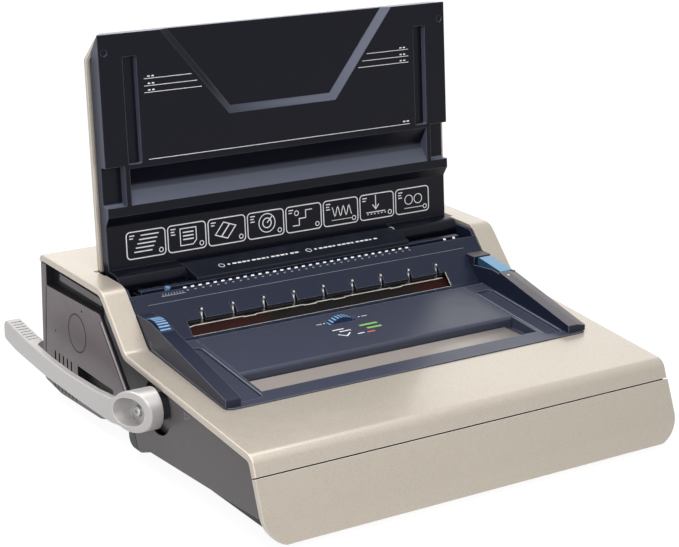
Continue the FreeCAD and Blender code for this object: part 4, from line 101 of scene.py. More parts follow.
def noise_node(tree, vector, scale, detail=2.0, roughness=0.5):
    """A Noise Texture on the given vector; gives its value."""
    node = tree.nodes.new("ShaderNodeTexNoise")
    for label, value in (("Vector", vector), ("Scale", scale), ("Detail", detail),
                         ("Roughness", roughness)):
        feed(tree, node.inputs[label], value)
    return node.outputs["Fac"]


helpers = (feed, new_group, math_node, object_point, noise_node)
print("node helpers:", [helper.__name__ for helper in helpers])

# %% [markdown]
# Moulded plastic has a fine grain that softens its shine. It could be modelled, but its pits are
# far smaller than any face, so it is a pattern that only bends the light. Many finishes share
# it, so it becomes a node group: it is built once, and each material places it with its own
# numbers. The effects after it are made in the same way.

# %% Moulded grain
def make_grain():
    """Height = 0.7 times a fine noise plus 0.3 times a coarse one."""
    group, given, out = new_group("moulded_grain", {"Scale": 1800.0}, ["Height"])
    at = object_point(group)
    fine = noise_node(group, at, given["Scale"], 3.0, 0.6)
    coarse = noise_node(group, at, math_node(group, "MULTIPLY", given["Scale"], 0.23))
    height = math_node(group, "MULTIPLY_ADD", fine, 0.7, math_node(group, "MULTIPLY", coarse, 0.3))
    feed(group, out["Height"], height)
    return group


GRAIN = make_grain()
print("effect:", GRAIN.name, "with", len(GRAIN.nodes), "nodes")

# %% [markdown]
# No real surface has one even colour: paint and plastic vary slowly, and hands leave smudges. A
# painted image could hold that, but it would need a file and a layout for every piece. Noise on
# the piece's own coordinates gives the same without either. One output varies the colour, the
# other marks the smudges, which change the roughness.

# %% Slow tone and smudges
def make_tone():
    """Tone = 1 plus (slow noise less 0.5) times the amount; Wear = 1 in the smudges, 0 elsewhere."""
    group, given, out = new_group("handling_tone", {"Scale": 9.0, "Amount": 0.1}, ["Tone", "Wear"])
    at = object_point(group)
    slow = noise_node(group, at, given["Scale"], 4.0, 0.55)
    centred = math_node(group, "SUBTRACT", slow, 0.5)
    feed(group, out["Tone"], math_node(group, "MULTIPLY_ADD", centred, given["Amount"], 1.0))
    smudge = noise_node(group, at, math_node(group, "MULTIPLY", given["Scale"], 5.3), 6.0, 0.7)
    above = math_node(group, "SUBTRACT", smudge, 0.52, clamp=True)
    feed(group, out["Wear"], math_node(group, "MULTIPLY", above, 4.0, clamp=True))
    return group


TONE = make_tone()
print("effect:", TONE.name, "with", len(TONE.nodes), "nodes")

# %% [markdown]
# The casing's paint holds tiny metal flakes under a clear coat, and its skin has a faint orange
# peel. Real flakes would be thousands of faces. A Voronoi Texture splits the surface into cells
# of 0.2 mm and gives each one a number of its own, which is all that a flake needs.

# %% Metal flakes
def make_flake():
    """Flake = one number for each tiny cell; Height = the slow wave of the paint's skin."""
    group, given, out = new_group("metal_flake", {"Scale": 5200.0}, ["Flake", "Height"])
    at = object_point(group)
    cells = group.nodes.new("ShaderNodeTexVoronoi")
    feed(group, cells.inputs["Vector"], at)
    feed(group, cells.inputs["Scale"], given["Scale"])
    split = group.nodes.new("ShaderNodeSeparateColor")
    feed(group, split.inputs[0], cells.outputs["Color"])
    feed(group, out["Flake"], split.outputs[0])
    peel = noise_node(group, at, math_node(group, "MULTIPLY", given["Scale"], 0.06))
    feed(group, out["Height"], peel)
    return group


FLAKE = make_flake()
print("effect:", FLAKE.name, "with", len(FLAKE.nodes), "nodes")

# %% [markdown]
# Sheet and bar are drawn or ground in one direction, which leaves fine parallel lines. Grooves
# could be cut, but they are thinner than a hair. The same noise as before, stretched along x,
# gives long thin streaks that run across the machine as the bars do.

# %% Drawn lines of metal
def make_brush():
    """Height = noise on coordinates squeezed to 0.03 along x, so that it turns into streaks."""
    group, given, out = new_group("drawn_lines", {"Scale": 900.0}, ["Height"])
    squeeze = group.nodes.new("ShaderNodeMapping")
    squeeze.inputs["Scale"].default_value = (0.03, 1.0, 1.0)
    feed(group, squeeze.inputs["Vector"], object_point(group))
    streak = noise_node(group, squeeze.outputs["Vector"], given["Scale"], 4.0, 0.65)
    feed(group, out["Height"], streak)
    return group


BRUSH = make_brush()
print("effect:", BRUSH.name, "with", len(BRUSH.nodes), "nodes")

# %% [markdown]
# Edges that stand free catch the light, while grooves and inner corners lie in shade, and here both are
# painted into the colour: a painted highlight on free edges and painted shade in creases. Both could be
# painted by hand, edge by edge. Two nodes find them instead. The Bevel node gives the normal of a rounded
# edge, and where that normal leaves the real one there is an edge. The Ambient Occlusion node tells open
# places from closed ones.

# %% Painted highlights on free edges and painted shade in creases
def openness(tree, reach):
    """1 where nothing stands within the reach over the surface, less in corners."""
    around = tree.nodes.new("ShaderNodeAmbientOcclusion")
    around.samples = 4
    around.inputs["Distance"].default_value = reach
    return around.outputs["AO"]


def make_edges():
    """Free = edge times open, the mask of a painted highlight; Crease = 1.4 less 2.2 times the openness
    close by, the mask of painted shade.
    """
    group, given, out = new_group("painted_edge_light_and_crease_shade", {"Radius": 0.0008}, ["Free", "Crease"])
    rounded = group.nodes.new("ShaderNodeBevel")
    rounded.samples = 4
    feed(group, rounded.inputs["Radius"], given["Radius"])
    dot = group.nodes.new("ShaderNodeVectorMath")
    dot.operation = "DOT_PRODUCT"
    feed(group, dot.inputs[0], rounded.outputs["Normal"])
    feed(group, dot.inputs[1], group.nodes.new("ShaderNodeNewGeometry").outputs["Normal"])
    turned_away = math_node(group, "SUBTRACT", 1.0, dot.outputs["Value"], clamp=True)
    edge = math_node(group, "MULTIPLY", turned_away, 7.0, clamp=True)
    stands_free = math_node(group, "MULTIPLY_ADD", openness(group, 0.003), 2.6, -1.2, clamp=True)
    feed(group, out["Free"], math_node(group, "MULTIPLY", edge, stands_free))
    crease = math_node(group, "MULTIPLY_ADD", openness(group, 0.0015), -2.2, 1.4, clamp=True)
    feed(group, out["Crease"], crease)
    return group


EDGE_LIGHT_AND_CREASE_SHADE = make_edges()
print("effect:", EDGE_LIGHT_AND_CREASE_SHADE.name, "with", len(EDGE_LIGHT_AND_CREASE_SHADE.nodes), "nodes")

# %% [markdown]
# A real finish is layered: a base colour, a second colour where something is rubbed or shaded,
# and a relief over both. Each layer could be wired anew in every material. Small functions do it
# instead: one places a shared effect, one mixes two colours, one lays a colour over a material by
# a mask, and one turns a height into bent normals. A Bevel node rounds the normals at sharp edges
# first, because real rounded edges on sixty solids would cost many faces and this look of them
# costs none.

# %% Layers of a finish
def place_group(tree, group, **values):
    """A node of the group with numbers on its inputs; gives its outputs."""
    node = tree.nodes.new("ShaderNodeGroup")
    node.node_tree = group
    for label, value in values.items():
        node.inputs[label].default_value = value
    return node.outputs


def mix_colours(tree, share, first, second, blend="MIX"):
    """The first colour where the share is 0 and the second where it is 1; gives the output."""
    node = tree.nodes.new("ShaderNodeMix")
    node.data_type = "RGBA"
    node.blend_type = blend
    feed(tree, node.inputs["Factor"], share)
    for label, colour in (("A", first), ("B", second)):
        feed(tree, node.inputs[label], (*colour, 1.0) if isinstance(colour, tuple) else colour)
    return node.outputs["Result"]


def darker(colour, share):
    """Each channel of the colour times the share."""
    return tuple(channel * share for channel in colour)


def tint(made, colour, mask):
    """Lay a colour over the material's base colour where the mask is 1."""
    tree = made.node_tree
    base = tree.nodes["Principled BSDF"].inputs["Base Color"]
    feed(tree, base, mix_colours(tree, mask, base.links[0].from_socket, colour))


def relief(tree, edge, height, depth):
    """The normal rounded at sharp edges, and bumped by the height where there is one."""
    bevel = tree.nodes.new("ShaderNodeBevel")
    bevel.samples = 4
    bevel.inputs["Radius"].default_value = edge
    if height is None:
        return bevel.outputs["Normal"]
    bump = tree.nodes.new("ShaderNodeBump")
    bump.inputs["Distance"].default_value = depth
    bump.inputs["Strength"].default_value = 0.6
    feed(tree, bump.inputs["Height"], height)
    feed(tree, bump.inputs["Normal"], bevel.outputs["Normal"])
    return bump.outputs["Normal"]


print("shared effects:", [group.name for group in (GRAIN, TONE, FLAKE, BRUSH, EDGE_LIGHT_AND_CREASE_SHADE)])

# %% [markdown]
# One function makes every opaque finish, so that a new one is a line of numbers. Its Principled
# shader carries the fixed numbers on its own sockets. The tone group varies the base colour,
# smudges and flakes change the roughness, and grain or drawn lines make the relief. The plainest
# finish comes first: the black plastic of the hidden frames.

# %% One function for every opaque finish
def finish(name, colour, roughness, metallic=0.0, tone=0.12, tone_scale=9.0, wear=0.08, grain=None,
           grain_depth=0.00002, brushed=None, flake=None, edge=0.0003, second=None, coat=0.0,
           specular=0.5, edge_highlight=None):
    """A material from a colour, a roughness and the scales of the shared effects."""
    made = bpy.data.materials.new(name)
    made.use_nodes = True
    tree = made.node_tree
    shader = tree.nodes["Principled BSDF"].inputs
    shader["Metallic"].default_value = metallic
    shader["Specular IOR Level"].default_value = specular
    if coat:
        shader["Coat Weight"].default_value = coat
        shader["Coat Roughness"].default_value = 0.12
    tones = place_group(tree, TONE, Scale=tone_scale, Amount=tone)
    level = math_node(tree, "MULTIPLY_ADD", tones["Tone"], 1.0, -0.12, clamp=True)
    paint = mix_colours(tree, level, second or darker(colour, 0.8), colour)
    rough = math_node(tree, "MULTIPLY_ADD", tones["Wear"], wear, roughness, clamp=True)
    height = None
    if flake:
        flakes = place_group(tree, FLAKE, Scale=flake)
        sparkle = math_node(tree, "MULTIPLY_ADD", flakes["Flake"], 0.16, -0.08)
        rough = math_node(tree, "ADD", rough, sparkle, clamp=True)
        paint = mix_colours(tree, 0.22, paint, flakes["Flake"], "MULTIPLY")
        height = flakes["Height"]
    feed(tree, shader["Base Color"], paint)
    feed(tree, shader["Roughness"], rough)
    if edge_highlight:
        # Painted light: the rim colour is a painted highlight on free edges, and a darker copy of the base
        # colour is painted shade in creases.
        edges = place_group(tree, EDGE_LIGHT_AND_CREASE_SHADE, Radius=edge * 1.4)
        tint(made, darker(colour, 0.15), edges["Crease"])
        tint(made, edge_highlight, edges["Free"])
    if grain:
        height = place_group(tree, GRAIN, Scale=grain)["Height"]
    if brushed:
        height = place_group(tree, BRUSH, Scale=brushed)["Height"]
    feed(tree, shader["Normal"], relief(tree, edge, height, grain_depth))
    return made


FRAME_BLACK = finish("black_plastic", (0.012, 0.012, 0.013), 0.55, grain=1500.0)
print("plain finish:", FRAME_BLACK.name, "with", len(FRAME_BLACK.node_tree.nodes), "nodes")

# %% [markdown]
# The casing and the lid are painted a pale gold. A full metal would show only reflections, and a
# plain paint would look chalky, so the paint is a third metal under a thin clear coat. The lever
# is cast metal under a satin silver paint, made the same way with less coat and no flakes.

# %% Pale gold and satin silver
PALE_GOLD = finish("pale_gold_paint", (0.655, 0.582, 0.492), 0.34, metallic=0.35, flake=5200.0,
                   grain_depth=0.000006, tone=0.25, tone_scale=4.0, edge=0.0006, coat=0.4,
                   edge_highlight=(1.0, 0.96, 0.88))
SILVER = finish("satin_silver", (0.560, 0.541, 0.531), 0.36, metallic=0.35, grain=3000.0,
                grain_depth=0.000006, tone=0.2, tone_scale=14.0, edge=0.0008, coat=0.15,
                edge_highlight=(0.97, 0.96, 0.94))
print("painted:", PALE_GOLD.name, SILVER.name)

# %% [markdown]
# The sides are moulded in a warm grey plastic. One grey for all would be simpler, but each
# moulding takes the light at its own angle and looks lighter or darker than its neighbour. So
# each gets a colour of its own, and they share only the texture.

# %% Grey and black mouldings
MOULDED = {"grain": 1500.0, "grain_depth": 0.00003, "tone": 0.5, "edge": 0.0006}
SIDE_GREY = finish("warm_grey_plastic", (0.140, 0.117, 0.127), 0.42, edge_highlight=(0.42, 0.37, 0.38), **MOULDED)
WALL_GREY = finish("wall_grey_plastic", (0.092, 0.080, 0.087), 0.38, specular=0.38,
                   edge_highlight=(0.42, 0.37, 0.38), **MOULDED)
COVER_GREY = finish("cover_grey_plastic", (0.182, 0.152, 0.162), 0.42, specular=0.38,
                    edge_highlight=(0.50, 0.44, 0.45), **MOULDED)
# Painted shade: the mid panels lie deep in the recess under the casing's lip, so their grey is made nearly
# black.
BAND_GREY_SHADED = finish("band_grey_shaded_plastic", (0.020, 0.018, 0.023), 0.36, specular=0.25,
                   edge_highlight=(0.30, 0.27, 0.30), **MOULDED)
FLANGE_GREY = finish("flange_grey", (0.050, 0.048, 0.053), 0.35, grain=1500.0, edge=0.0006,
                     edge_highlight=(0.25, 0.24, 0.26))
GLOSS_BLACK = finish("rocker_black", (0.01, 0.01, 0.011), 0.18, grain=3500.0, grain_depth=0.000004)
RUBBER = finish("foot_rubber", (0.02, 0.02, 0.02), 0.8, grain=1200.0, grain_depth=0.00006)
print("greys:", [made.name for made in (SIDE_GREY, WALL_GREY, COVER_GREY, BAND_GREY_SHADED, FLANGE_GREY)])

# %% [markdown]
# Just behind their outer faces the side mouldings step back, and these steps lie in deep shadow.
# More lamps and darker neighbours could give that shadow, but not in every view. A mask is
# simpler: it measures how far a point lies in from the side's face, and paints the step black.

# %% Dark steps behind the sides' faces
SIDE_X = 230.6
SEAM_LEAN, SEAM_FOOT = 0.39, -13.3


def object_axes(tree, output="Object"):
    """Three sockets x, y and z of the piece's own coordinates, or of its normals."""
    split = tree.nodes.new("ShaderNodeSeparateXYZ")
    feed(tree, split.inputs[0], tree.nodes.new("ShaderNodeTexCoord").outputs[output])
    return split.outputs


def ramp(tree, value, low, high):
    """0 at low, 1 at high, straight between them and level beyond."""
    node = tree.nodes.new("ShaderNodeMapRange")
    feed(tree, node.inputs["Value"], value)
    node.inputs["From Min"].default_value = low
    node.inputs["From Max"].default_value = high
    return node.outputs["Result"]


def side_depth(tree):
    """Millimetres in from the outer face on either side: SIDE_X less the distance off the middle."""
    off_middle = math_node(tree, "SUBTRACT", object_axes(tree)[X], SHIFT[X] / 1000.0)
    return math_node(tree, "MULTIPLY_ADD", math_node(tree, "ABSOLUTE", off_middle), -1000.0, SIDE_X)


for made in (COVER_GREY, WALL_GREY):
    tint(made, (0.014, 0.013, 0.016), ramp(made.node_tree, side_depth(made.node_tree), 0.2, 0.4))

# The front wall goes on behind its rear seam, which lies SEAM_LEAN further back for each
# millimetre up: from 2.6 to 3.2 mm behind the line through SEAM_FOOT it turns black.
wall_tree = WALL_GREY.node_tree
wall_at = object_axes(wall_tree)
behind_seam = math_node(wall_tree, "MULTIPLY_ADD", wall_at[Z], -SEAM_LEAN, wall_at[Y])
seam_low, seam_high = ((past + SEAM_FOOT + SHIFT[Y]) / 1000.0 for past in (2.6, 3.2))
tint(WALL_GREY, (0.010, 0.010, 0.012), ramp(wall_tree, behind_seam, seam_low, seam_high))
print("seam turns black from", round(seam_low, 5), "to", round(seam_high, 5), "m")

# %% [markdown]
# Inside, the machine is a navy plastic that is nearly black. It could be one material, but the
# tray, the deck, the lid and the wedges differ in gloss and in how much light their edges catch.
# A taupe strip lies in the front channel.

# %% Navy plastics
SATIN = {"grain": 2600.0, "grain_depth": 0.000012, "tone": 0.4, "tone_scale": 6.0, "edge": 0.0006,
         "specular": 0.3}
NAVY = finish("navy_plastic", (0.012, 0.0165, 0.037), 0.34, edge_highlight=(0.25, 0.27, 0.34), **SATIN)
WEDGE_NAVY_LIT_TOP = finish("wedge_plastic_lit_top", (0.012, 0.0165, 0.037), 0.34, edge_highlight=(0.30, 0.30, 0.36), **SATIN)
NAVY_DARK = finish("dark_navy_plastic", (0.005, 0.007, 0.015), 0.34, edge_highlight=(0.07, 0.08, 0.12), **SATIN)
NAVY_LID = finish("navy_lid_plastic", (0.0045, 0.0050, 0.0105), 0.30, grain=2600.0,
                  grain_depth=0.000012, tone=0.5, tone_scale=5.0, edge=0.0008, specular=0.18,
                  edge_highlight=(0.13, 0.145, 0.20))
TRAY_NAVY = finish("tray_plastic", (0.050, 0.057, 0.088), 0.32, grain=2400.0,
                   grain_depth=0.000012, tone=0.4, tone_scale=7.0, edge=0.0008, specular=0.4,
                   edge_highlight=(0.30, 0.32, 0.40))
TAUPE = finish("taupe_strip", (0.37, 0.325, 0.295), 0.3, grain=900.0, tone=0.5, tone_scale=14.0)
print("navy:", [made.name for made in (NAVY, WEDGE_NAVY_LIT_TOP, NAVY_DARK, NAVY_LID, TRAY_NAVY)])

# %% [markdown]
# Faces that look up take more light than the rest, and that light is painted into their colour, so they are
# paler. A second material on those faces would need them picked by hand. The normal already says which way
# a face looks, so a ramp on its z makes the mask. The lid's painted light falls on its trough and on the
# bevels round its recess that face up and to the left. The taupe strip's right end lies in shadow, and that
# shade is painted dark.

# %% Painted light on upward faces and painted shade at the strip's end
def looks_up(made, low, high):
    """Mask from the normal's z: 0 at low and 1 at high."""
    return ramp(made.node_tree, object_axes(made.node_tree, "Normal")[Z], low, high)


# Painted light: the right wedge's upward faces are paler.
tint(WEDGE_NAVY_LIT_TOP, (0.115, 0.108, 0.118), looks_up(WEDGE_NAVY_LIT_TOP, 0.6, 0.95))
lid_tree = NAVY_LID.node_tree
facing = object_axes(lid_tree, "Normal")
up_and_left = math_node(lid_tree, "MULTIPLY_ADD", facing[X], -0.6, facing[Z])
above_barrels = ramp(lid_tree, object_axes(lid_tree)[Z], 0.155, 0.160)
# Painted light on the lid's trough and on the bevels that face up and to the left, above the barrels.
lid_painted_light = math_node(lid_tree, "MULTIPLY", ramp(lid_tree, up_and_left, 0.25, 0.8), above_barrels)
tint(NAVY_LID, (0.15, 0.165, 0.22), lid_painted_light)
# Painted shade: the strip darkens towards its right end.
strip_x = object_axes(TAUPE.node_tree)[X]
tint(TAUPE, (0.045, 0.036, 0.036), ramp(TAUPE.node_tree, strip_x, 0.10, 0.21))
print("second colours on:", WEDGE_NAVY_LIT_TOP.name, NAVY_LID.name, TAUPE.name)

# %% [markdown]
# The mechanism is zinc-plated sheet, ground steel bars, oiled bronze bushes and a brass pinion.
# All are full metals with drawn lines; what tells them apart is colour and roughness. The comb is oiled: it
# is red-brown towards its ends and nearly black over its middle.

# %% Metals and the comb
ZINC = finish("zinc_plate", (0.56, 0.57, 0.58), 0.38, metallic=1.0, brushed=700.0,
              grain_depth=0.00001, tone=0.3, tone_scale=30.0)
STEEL = finish("ground_steel", (0.50, 0.51, 0.53), 0.28, metallic=1.0, brushed=1500.0,
               grain_depth=0.000006, tone=0.25, tone_scale=30.0)
BRIGHT = finish("bright_steel", (0.90, 0.88, 0.84), 0.2, metallic=0.7, brushed=2400.0,
                grain_depth=0.000003, tone=0.15, tone_scale=60.0)
BLACK_STEEL = finish("blackened_steel", (0.014, 0.013, 0.014), 0.4, metallic=0.3, grain=2000.0,
                     tone=0.6, tone_scale=22.0)
BRONZE = finish("sintered_bronze", (0.45, 0.29, 0.13), 0.45, metallic=1.0, grain=4000.0)
BRASS = finish("machined_brass", (0.75, 0.53, 0.22), 0.25, metallic=1.0, brushed=1800.0)
COMB = finish("oiled_comb", (0.026, 0.004, 0.002), 0.6, metallic=0.0, specular=0.15, brushed=500.0,
              grain_depth=0.00006, tone=3.0, tone_scale=160.0, second=(0.005, 0.004, 0.003), wear=0.3)
comb_tree = COMB.node_tree
from_middle = math_node(comb_tree, "SUBTRACT", object_axes(comb_tree)[X], 0.040)
dark_middle = ramp(comb_tree, math_node(comb_tree, "ABSOLUTE", from_middle), 0.105, 0.075)
tint(COMB, (0.006, 0.005, 0.004), dark_middle)
print("metals:", [made.name for made in (ZINC, STEEL, BRIGHT, BLACK_STEEL, BRONZE, BRASS, COMB)])

# %% [markdown]
# Two thumb wheels have ribs round their rims. Their solids have the ribs already; what is missing is the
# light on the rib tops and the shade in the gaps, which are painted in: the tops get a light blue and the
# rest keeps a dark one. Picking faces by hand would take long, so the mask is worked out: the distance from
# the axle finds the rim, and a cosine of the angle, turned as often as there are ribs, finds their tops.

# %% Ribbed rims
def make_ribs():
    """Mask = 1 beyond the radius Low and where the cosine of Count times the angle is -1."""
    sizes = {"Across": 0.0, "Up": 0.0, "Centre Across": 0.0, "Centre Up": 0.0, "Low": 0.02,
             "Count": 36.0}
    group, given, out = new_group("ribbed_rim", sizes, ["Mask"])
    across = math_node(group, "SUBTRACT", given["Across"], given["Centre Across"])
    up = math_node(group, "SUBTRACT", given["Up"], given["Centre Up"])
    square = math_node(group, "MULTIPLY_ADD", up, up, math_node(group, "MULTIPLY", across, across))
    reach = math_node(group, "SUBTRACT", math_node(group, "SQRT", square), given["Low"])
    top = math_node(group, "MULTIPLY", reach, 2500.0, clamp=True)
    turn = math_node(group, "ARCTAN2", up, across)
    wave = math_node(group, "COSINE", math_node(group, "MULTIPLY", turn, given["Count"]))
    rib = math_node(group, "MULTIPLY_ADD", wave, -1.8, 0.3, clamp=True)
    feed(group, out["Mask"], math_node(group, "MULTIPLY", top, rib))
    return group


RIBS = make_ribs()
print("effect:", RIBS.name, "with", len(RIBS.nodes), "nodes")

# %% [markdown]
# What the user touches is blue: the edge wheel with its tab, the size wheel and the key. One blue
# would do for their plastic, but each wheel needs a material of its own, because the mask of its
# ribs holds the place of its axle.

# %% Blue wheels, tab and key
LIGHT_BLUE = (0.25, 0.46, 0.74)


def light_ribs(made, across, up, axle, low, count):
    """Tint the rib tops of a wheel that turns about an axle, seen along its third axis."""
    tree = made.node_tree
    node = tree.nodes.new("ShaderNodeGroup")
    node.node_tree = RIBS
    axes = object_axes(tree)
    wiring = {"Across": axes[across], "Up": axes[up], "Centre Across": float(axle[across]),
              "Centre Up": float(axle[up]), "Low": low, "Count": count}
    for label, value in wiring.items():
        feed(tree, node.inputs[label], value)
    # Painted light on the rib tops; the gaps and the rest keep the darker blue as painted shade.
    tint(made, LIGHT_BLUE, node.outputs["Mask"])


BLUE = {"grain": 2600.0, "tone": 0.3, "tone_scale": 60.0}
WHEEL_BLUE = finish("edge_wheel_blue", (0.010, 0.030, 0.085), 0.34, **BLUE)
light_ribs(WHEEL_BLUE, Y, Z, place([-197.5, 14.0, 106.6]), 0.0233, 40.0)
SIZE_BLUE = finish("size_wheel_blue", (0.010, 0.030, 0.085), 0.34, **BLUE)
light_ribs(SIZE_BLUE, X, Z, place([-5.5, -6.0, 85.5]), 0.0198, 36.0)
TAB_BLUE = finish("tab_blue", (0.20, 0.38, 0.62), 0.36, **BLUE)
KEY_BLUE = finish("key_blue", (0.02, 0.09, 0.17), 0.32, **BLUE)
# Painted light: the key's upward faces get a lighter blue, and its other faces keep a darker one as painted
# shade.
tint(KEY_BLUE, (0.15, 0.34, 0.54), looks_up(KEY_BLUE, 0.5, 0.8))
print("blues:", [made.name for made in (WHEEL_BLUE, SIZE_BLUE, TAB_BLUE, KEY_BLUE)])

# %% [markdown]
# Three small things are left: white nylon for a gear, green solder mask for the control board and
# a clear lens over the status lamp. Only the lens needs a shader set up by hand, because light
# goes through it. Its Transmission stands on the shader, and a faint ripple breaks its reflection.

# %% Nylon, solder mask and the clear lens
NYLON = finish("gear_nylon", (0.74, 0.72, 0.66), 0.45, grain=2500.0)
BOARD = finish("solder_mask", (0.015, 0.12, 0.045), 0.35, grain=900.0, tone=0.8, tone_scale=90.0)


def make_lens():
    """Clear plastic: mostly transmission, with a ripple in its surface."""
    made = bpy.data.materials.new("clear_lens")
    made.use_nodes = True
    tree = made.node_tree
    shader = tree.nodes["Principled BSDF"].inputs
    shader["Base Color"].default_value = (0.93, 0.96, 1.0, 1.0)
    shader["Roughness"].default_value = 0.08
    shader["Transmission Weight"].default_value = 0.7
    bump = tree.nodes.new("ShaderNodeBump")
    bump.inputs["Distance"].default_value = 0.00002
    feed(tree, bump.inputs["Height"], place_group(tree, GRAIN, Scale=700.0)["Height"])
    feed(tree, shader["Normal"], bump.outputs["Normal"])
    return made


LENS = make_lens()
print("small parts:", NYLON.name, BOARD.name, LENS.name)

# %% [markdown]
# Every solid gets its finish. Its mesh is made of loose triangles, which would shade as facets.
# Rebuilding the meshes isn't needed: a Weld modifier joins the triangles, and an Edge Split keeps
# every edge sharper than 32 degrees, so flat faces stay flat and round ones shade smoothly.

# %% Dress the solid nodes
WEARERS = {
    PALE_GOLD: "top_shell front_fascia lid_shell",
    SIDE_GREY: "rear_panel chip_drawer",
    WALL_GREY: "left_front_wall right_front_wall",
    COVER_GREY: "left_rear_cover right_rear_cover",
    BAND_GREY_SHADED: "left_mid_panel right_mid_panel",
    FRAME_BLACK: "left_side_frame right_side_frame power_inlet switch_frame wheel_bracket",
    GLOSS_BLACK: "power_switch",
    FLANGE_GREY: "lever_flange",
    RUBBER: "feet",
    NAVY: "deck_panel left_wedge punch_guide",
    WEDGE_NAVY_LIT_TOP: "right_wedge",
    NAVY_DARK: "hinge_bridge",
    NAVY_LID: "lid_panel",
    TRAY_NAVY: "tray_panel bed_frame",
    TAUPE: "channel_strip",
    SILVER: "lever",
    ZINC: "case_screws pin_holder pressure_bar motor gearbox_plate left_chassis_plate "
          "right_chassis_plate chip_chute closing_bar lever_screw",
    STEEL: "punch_die punch_pins camshaft punch_cams drive_gear closing_shaft closing_eccentrics "
           "hinge_rod",
    BRIGHT: "wire_hooks",
    BLACK_STEEL: "base_pan closing_anvil",
    BRONZE: "shaft_bushes",
    BRASS: "motor_pinion",
    COMB: "wire_comb",
    WHEEL_BLUE: "edge_wheel",
    SIZE_BLUE: "size_wheel",
    TAB_BLUE: "edge_guide",
    KEY_BLUE: "punch_key",
    NYLON: "idler_gear",
    BOARD: "control_board",
    LENS: "status_lens",
}
wear_of = {node: wear for wear, names in WEARERS.items() for node in names.split()}
for node, wear in wear_of.items():
    shown = nodes[node]
    shown.data.materials.clear()
    shown.data.materials.append(wear)
    shown.data.polygons.foreach_set("use_smooth", np.full(len(shown.data.polygons), True))
    weld = shown.modifiers.new("join", "WELD")
    weld.merge_threshold = 0.000002
    split = shown.modifiers.new("keep_edges", "EDGE_SPLIT")
    split.split_angle = math.radians(32.0)
print("dressed:", len(wear_of), "left bare:", sorted(set(nodes) - set(wear_of)))

# %% [markdown]
# The solids are dressed, and pieces of the scene's own come next. Blender could make them with
# its ready shapes and its edit tools, but a mesh written from rows of points says exactly where
# each piece lies. One helper writes the mesh, gives it its finish and lets it ride on a body, so
# that it moves with that body's joint.

# %% A piece from rows and faces
def make_piece(name, points, faces, body, wear, smooth=True):
    """A mesh of rows in drawing millimetres and four-cornered faces, which rides on a body."""
    mesh = bpy.data.meshes.new(name)
    mesh.from_pydata(place(points).tolist(), [], np.asarray(faces).tolist())
    mesh.polygons.foreach_set("use_smooth", np.full(len(mesh.polygons), smooth))
    mesh.update()
    piece = bpy.data.objects.new(name, mesh)
    bpy.context.scene.collection.objects.link(piece)
    piece.data.materials.append(wear)
    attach(piece, body)
    print("piece:", name, "on", body, "with", len(mesh.polygons), "faces")
    return piece


# %% [markdown]
# Print is a thin film of ink. An image could carry it, but it would blur close up, so every mark
# is a stroke: a line of points with a width. The stroke is widened to both sides in its own
# plane, laid on the surface that it is printed on, and a Solidify modifier gives it a thin body.

# %% Strokes on a surface
INK_T = 0.06


def stroke_sides(points, width):
    """Each point moved by half the width along the mean of its two runs' normals, both ways."""
    p = np.asarray(points, dtype=float)
    run = np.diff(p, axis=0)
    run /= np.linalg.norm(run, axis=1, keepdims=True)
    closed = np.allclose(p[0], p[-1])
    before = np.vstack([run[-1:] if closed else run[:1], run])
    after = np.vstack([run, run[:1] if closed else run[-1:]])
    mean = before + after
    mean /= np.linalg.norm(mean, axis=1, keepdims=True)
    normal = np.stack([-mean[:, 1], mean[:, 0]], axis=1)
    cosine = np.clip((mean * after).sum(axis=1), 0.4, 1.0)[:, None]
    offset = normal * (width / 2.0) / cosine
    return p + offset, p - offset


def ink(name, strokes, surface, body, wear):
    """One piece of all strokes; surface maps (u, v) rows to drawing points on the printed face."""
    points, faces = [], []
    start = 0
    for path, width in strokes:
        left, right = stroke_sides(path, width)
        count = len(left)
        points.append(surface(np.vstack([left, right])))
        i = np.arange(count - 1)
        faces.append(np.stack([i, i + 1, i + 1 + count, i + count], axis=1) + start)
        start += 2 * count
    piece = make_piece(name, np.vstack(points), np.vstack(faces), body, wear, smooth=False)
    film = piece.modifiers.new("film", "SOLIDIFY")
    film.thickness = INK_T / 1000.0
    film.offset = 0.0
    return piece


left, right = stroke_sides([(0.0, 0.0), (10.0, 0.0)], 1.0)
print("a 1 mm stroke's sides:", left.tolist(), right.tolist())

# %% [markdown]
# The lid leans back from its hinge, so a point on it is hard to name by its height and depth in
# the room. It is easy along the lid itself: x across, s up along its inner face and d behind that
# face. Turning (s, d) by the lean gives the room's y and z.

# %% The leaning lid's own coordinates
LEAN = math.radians(5.7)
LID_FOOT = (101.0, 158.0)
BAND_DEPTH = 7.0


def on_lid(rows, depth):
    """x stays; y = foot + s sin(lean) + d cos(lean); z = foot + s cos(lean) - d sin(lean)."""
    s = rows[:, 1]
    y = LID_FOOT[0] + s * math.sin(LEAN) + depth * math.cos(LEAN)
    z = LID_FOOT[1] + s * math.cos(LEAN) - depth * math.sin(LEAN)
    return np.stack([rows[:, 0], y, z], axis=-1)


def on_band(rows):
    """Just over the lid's sunken band."""
    return on_lid(rows, BAND_DEPTH - INK_T)


def on_face(rows):
    """Just over the lid's inner face."""
    return on_lid(rows, -INK_T)


print("the lid's face at x = 0, s = 200:", on_face(np.array([[0.0, 200.0]])).round(1).tolist())

# %% [markdown]
# All print is made of lines, rings and rounded frames. Their points could be typed in one by one,
# but a ring of 48 points is a centre and a radius, and a rounded frame is a centre, two half
# sizes and a corner's radius. Worked out from those, each can be moved or changed by one number.

# %% Lines, rings and rounded frames
def line(x0, y0, x1, y1):
    """Two points."""
    return [(x0, y0), (x1, y1)]


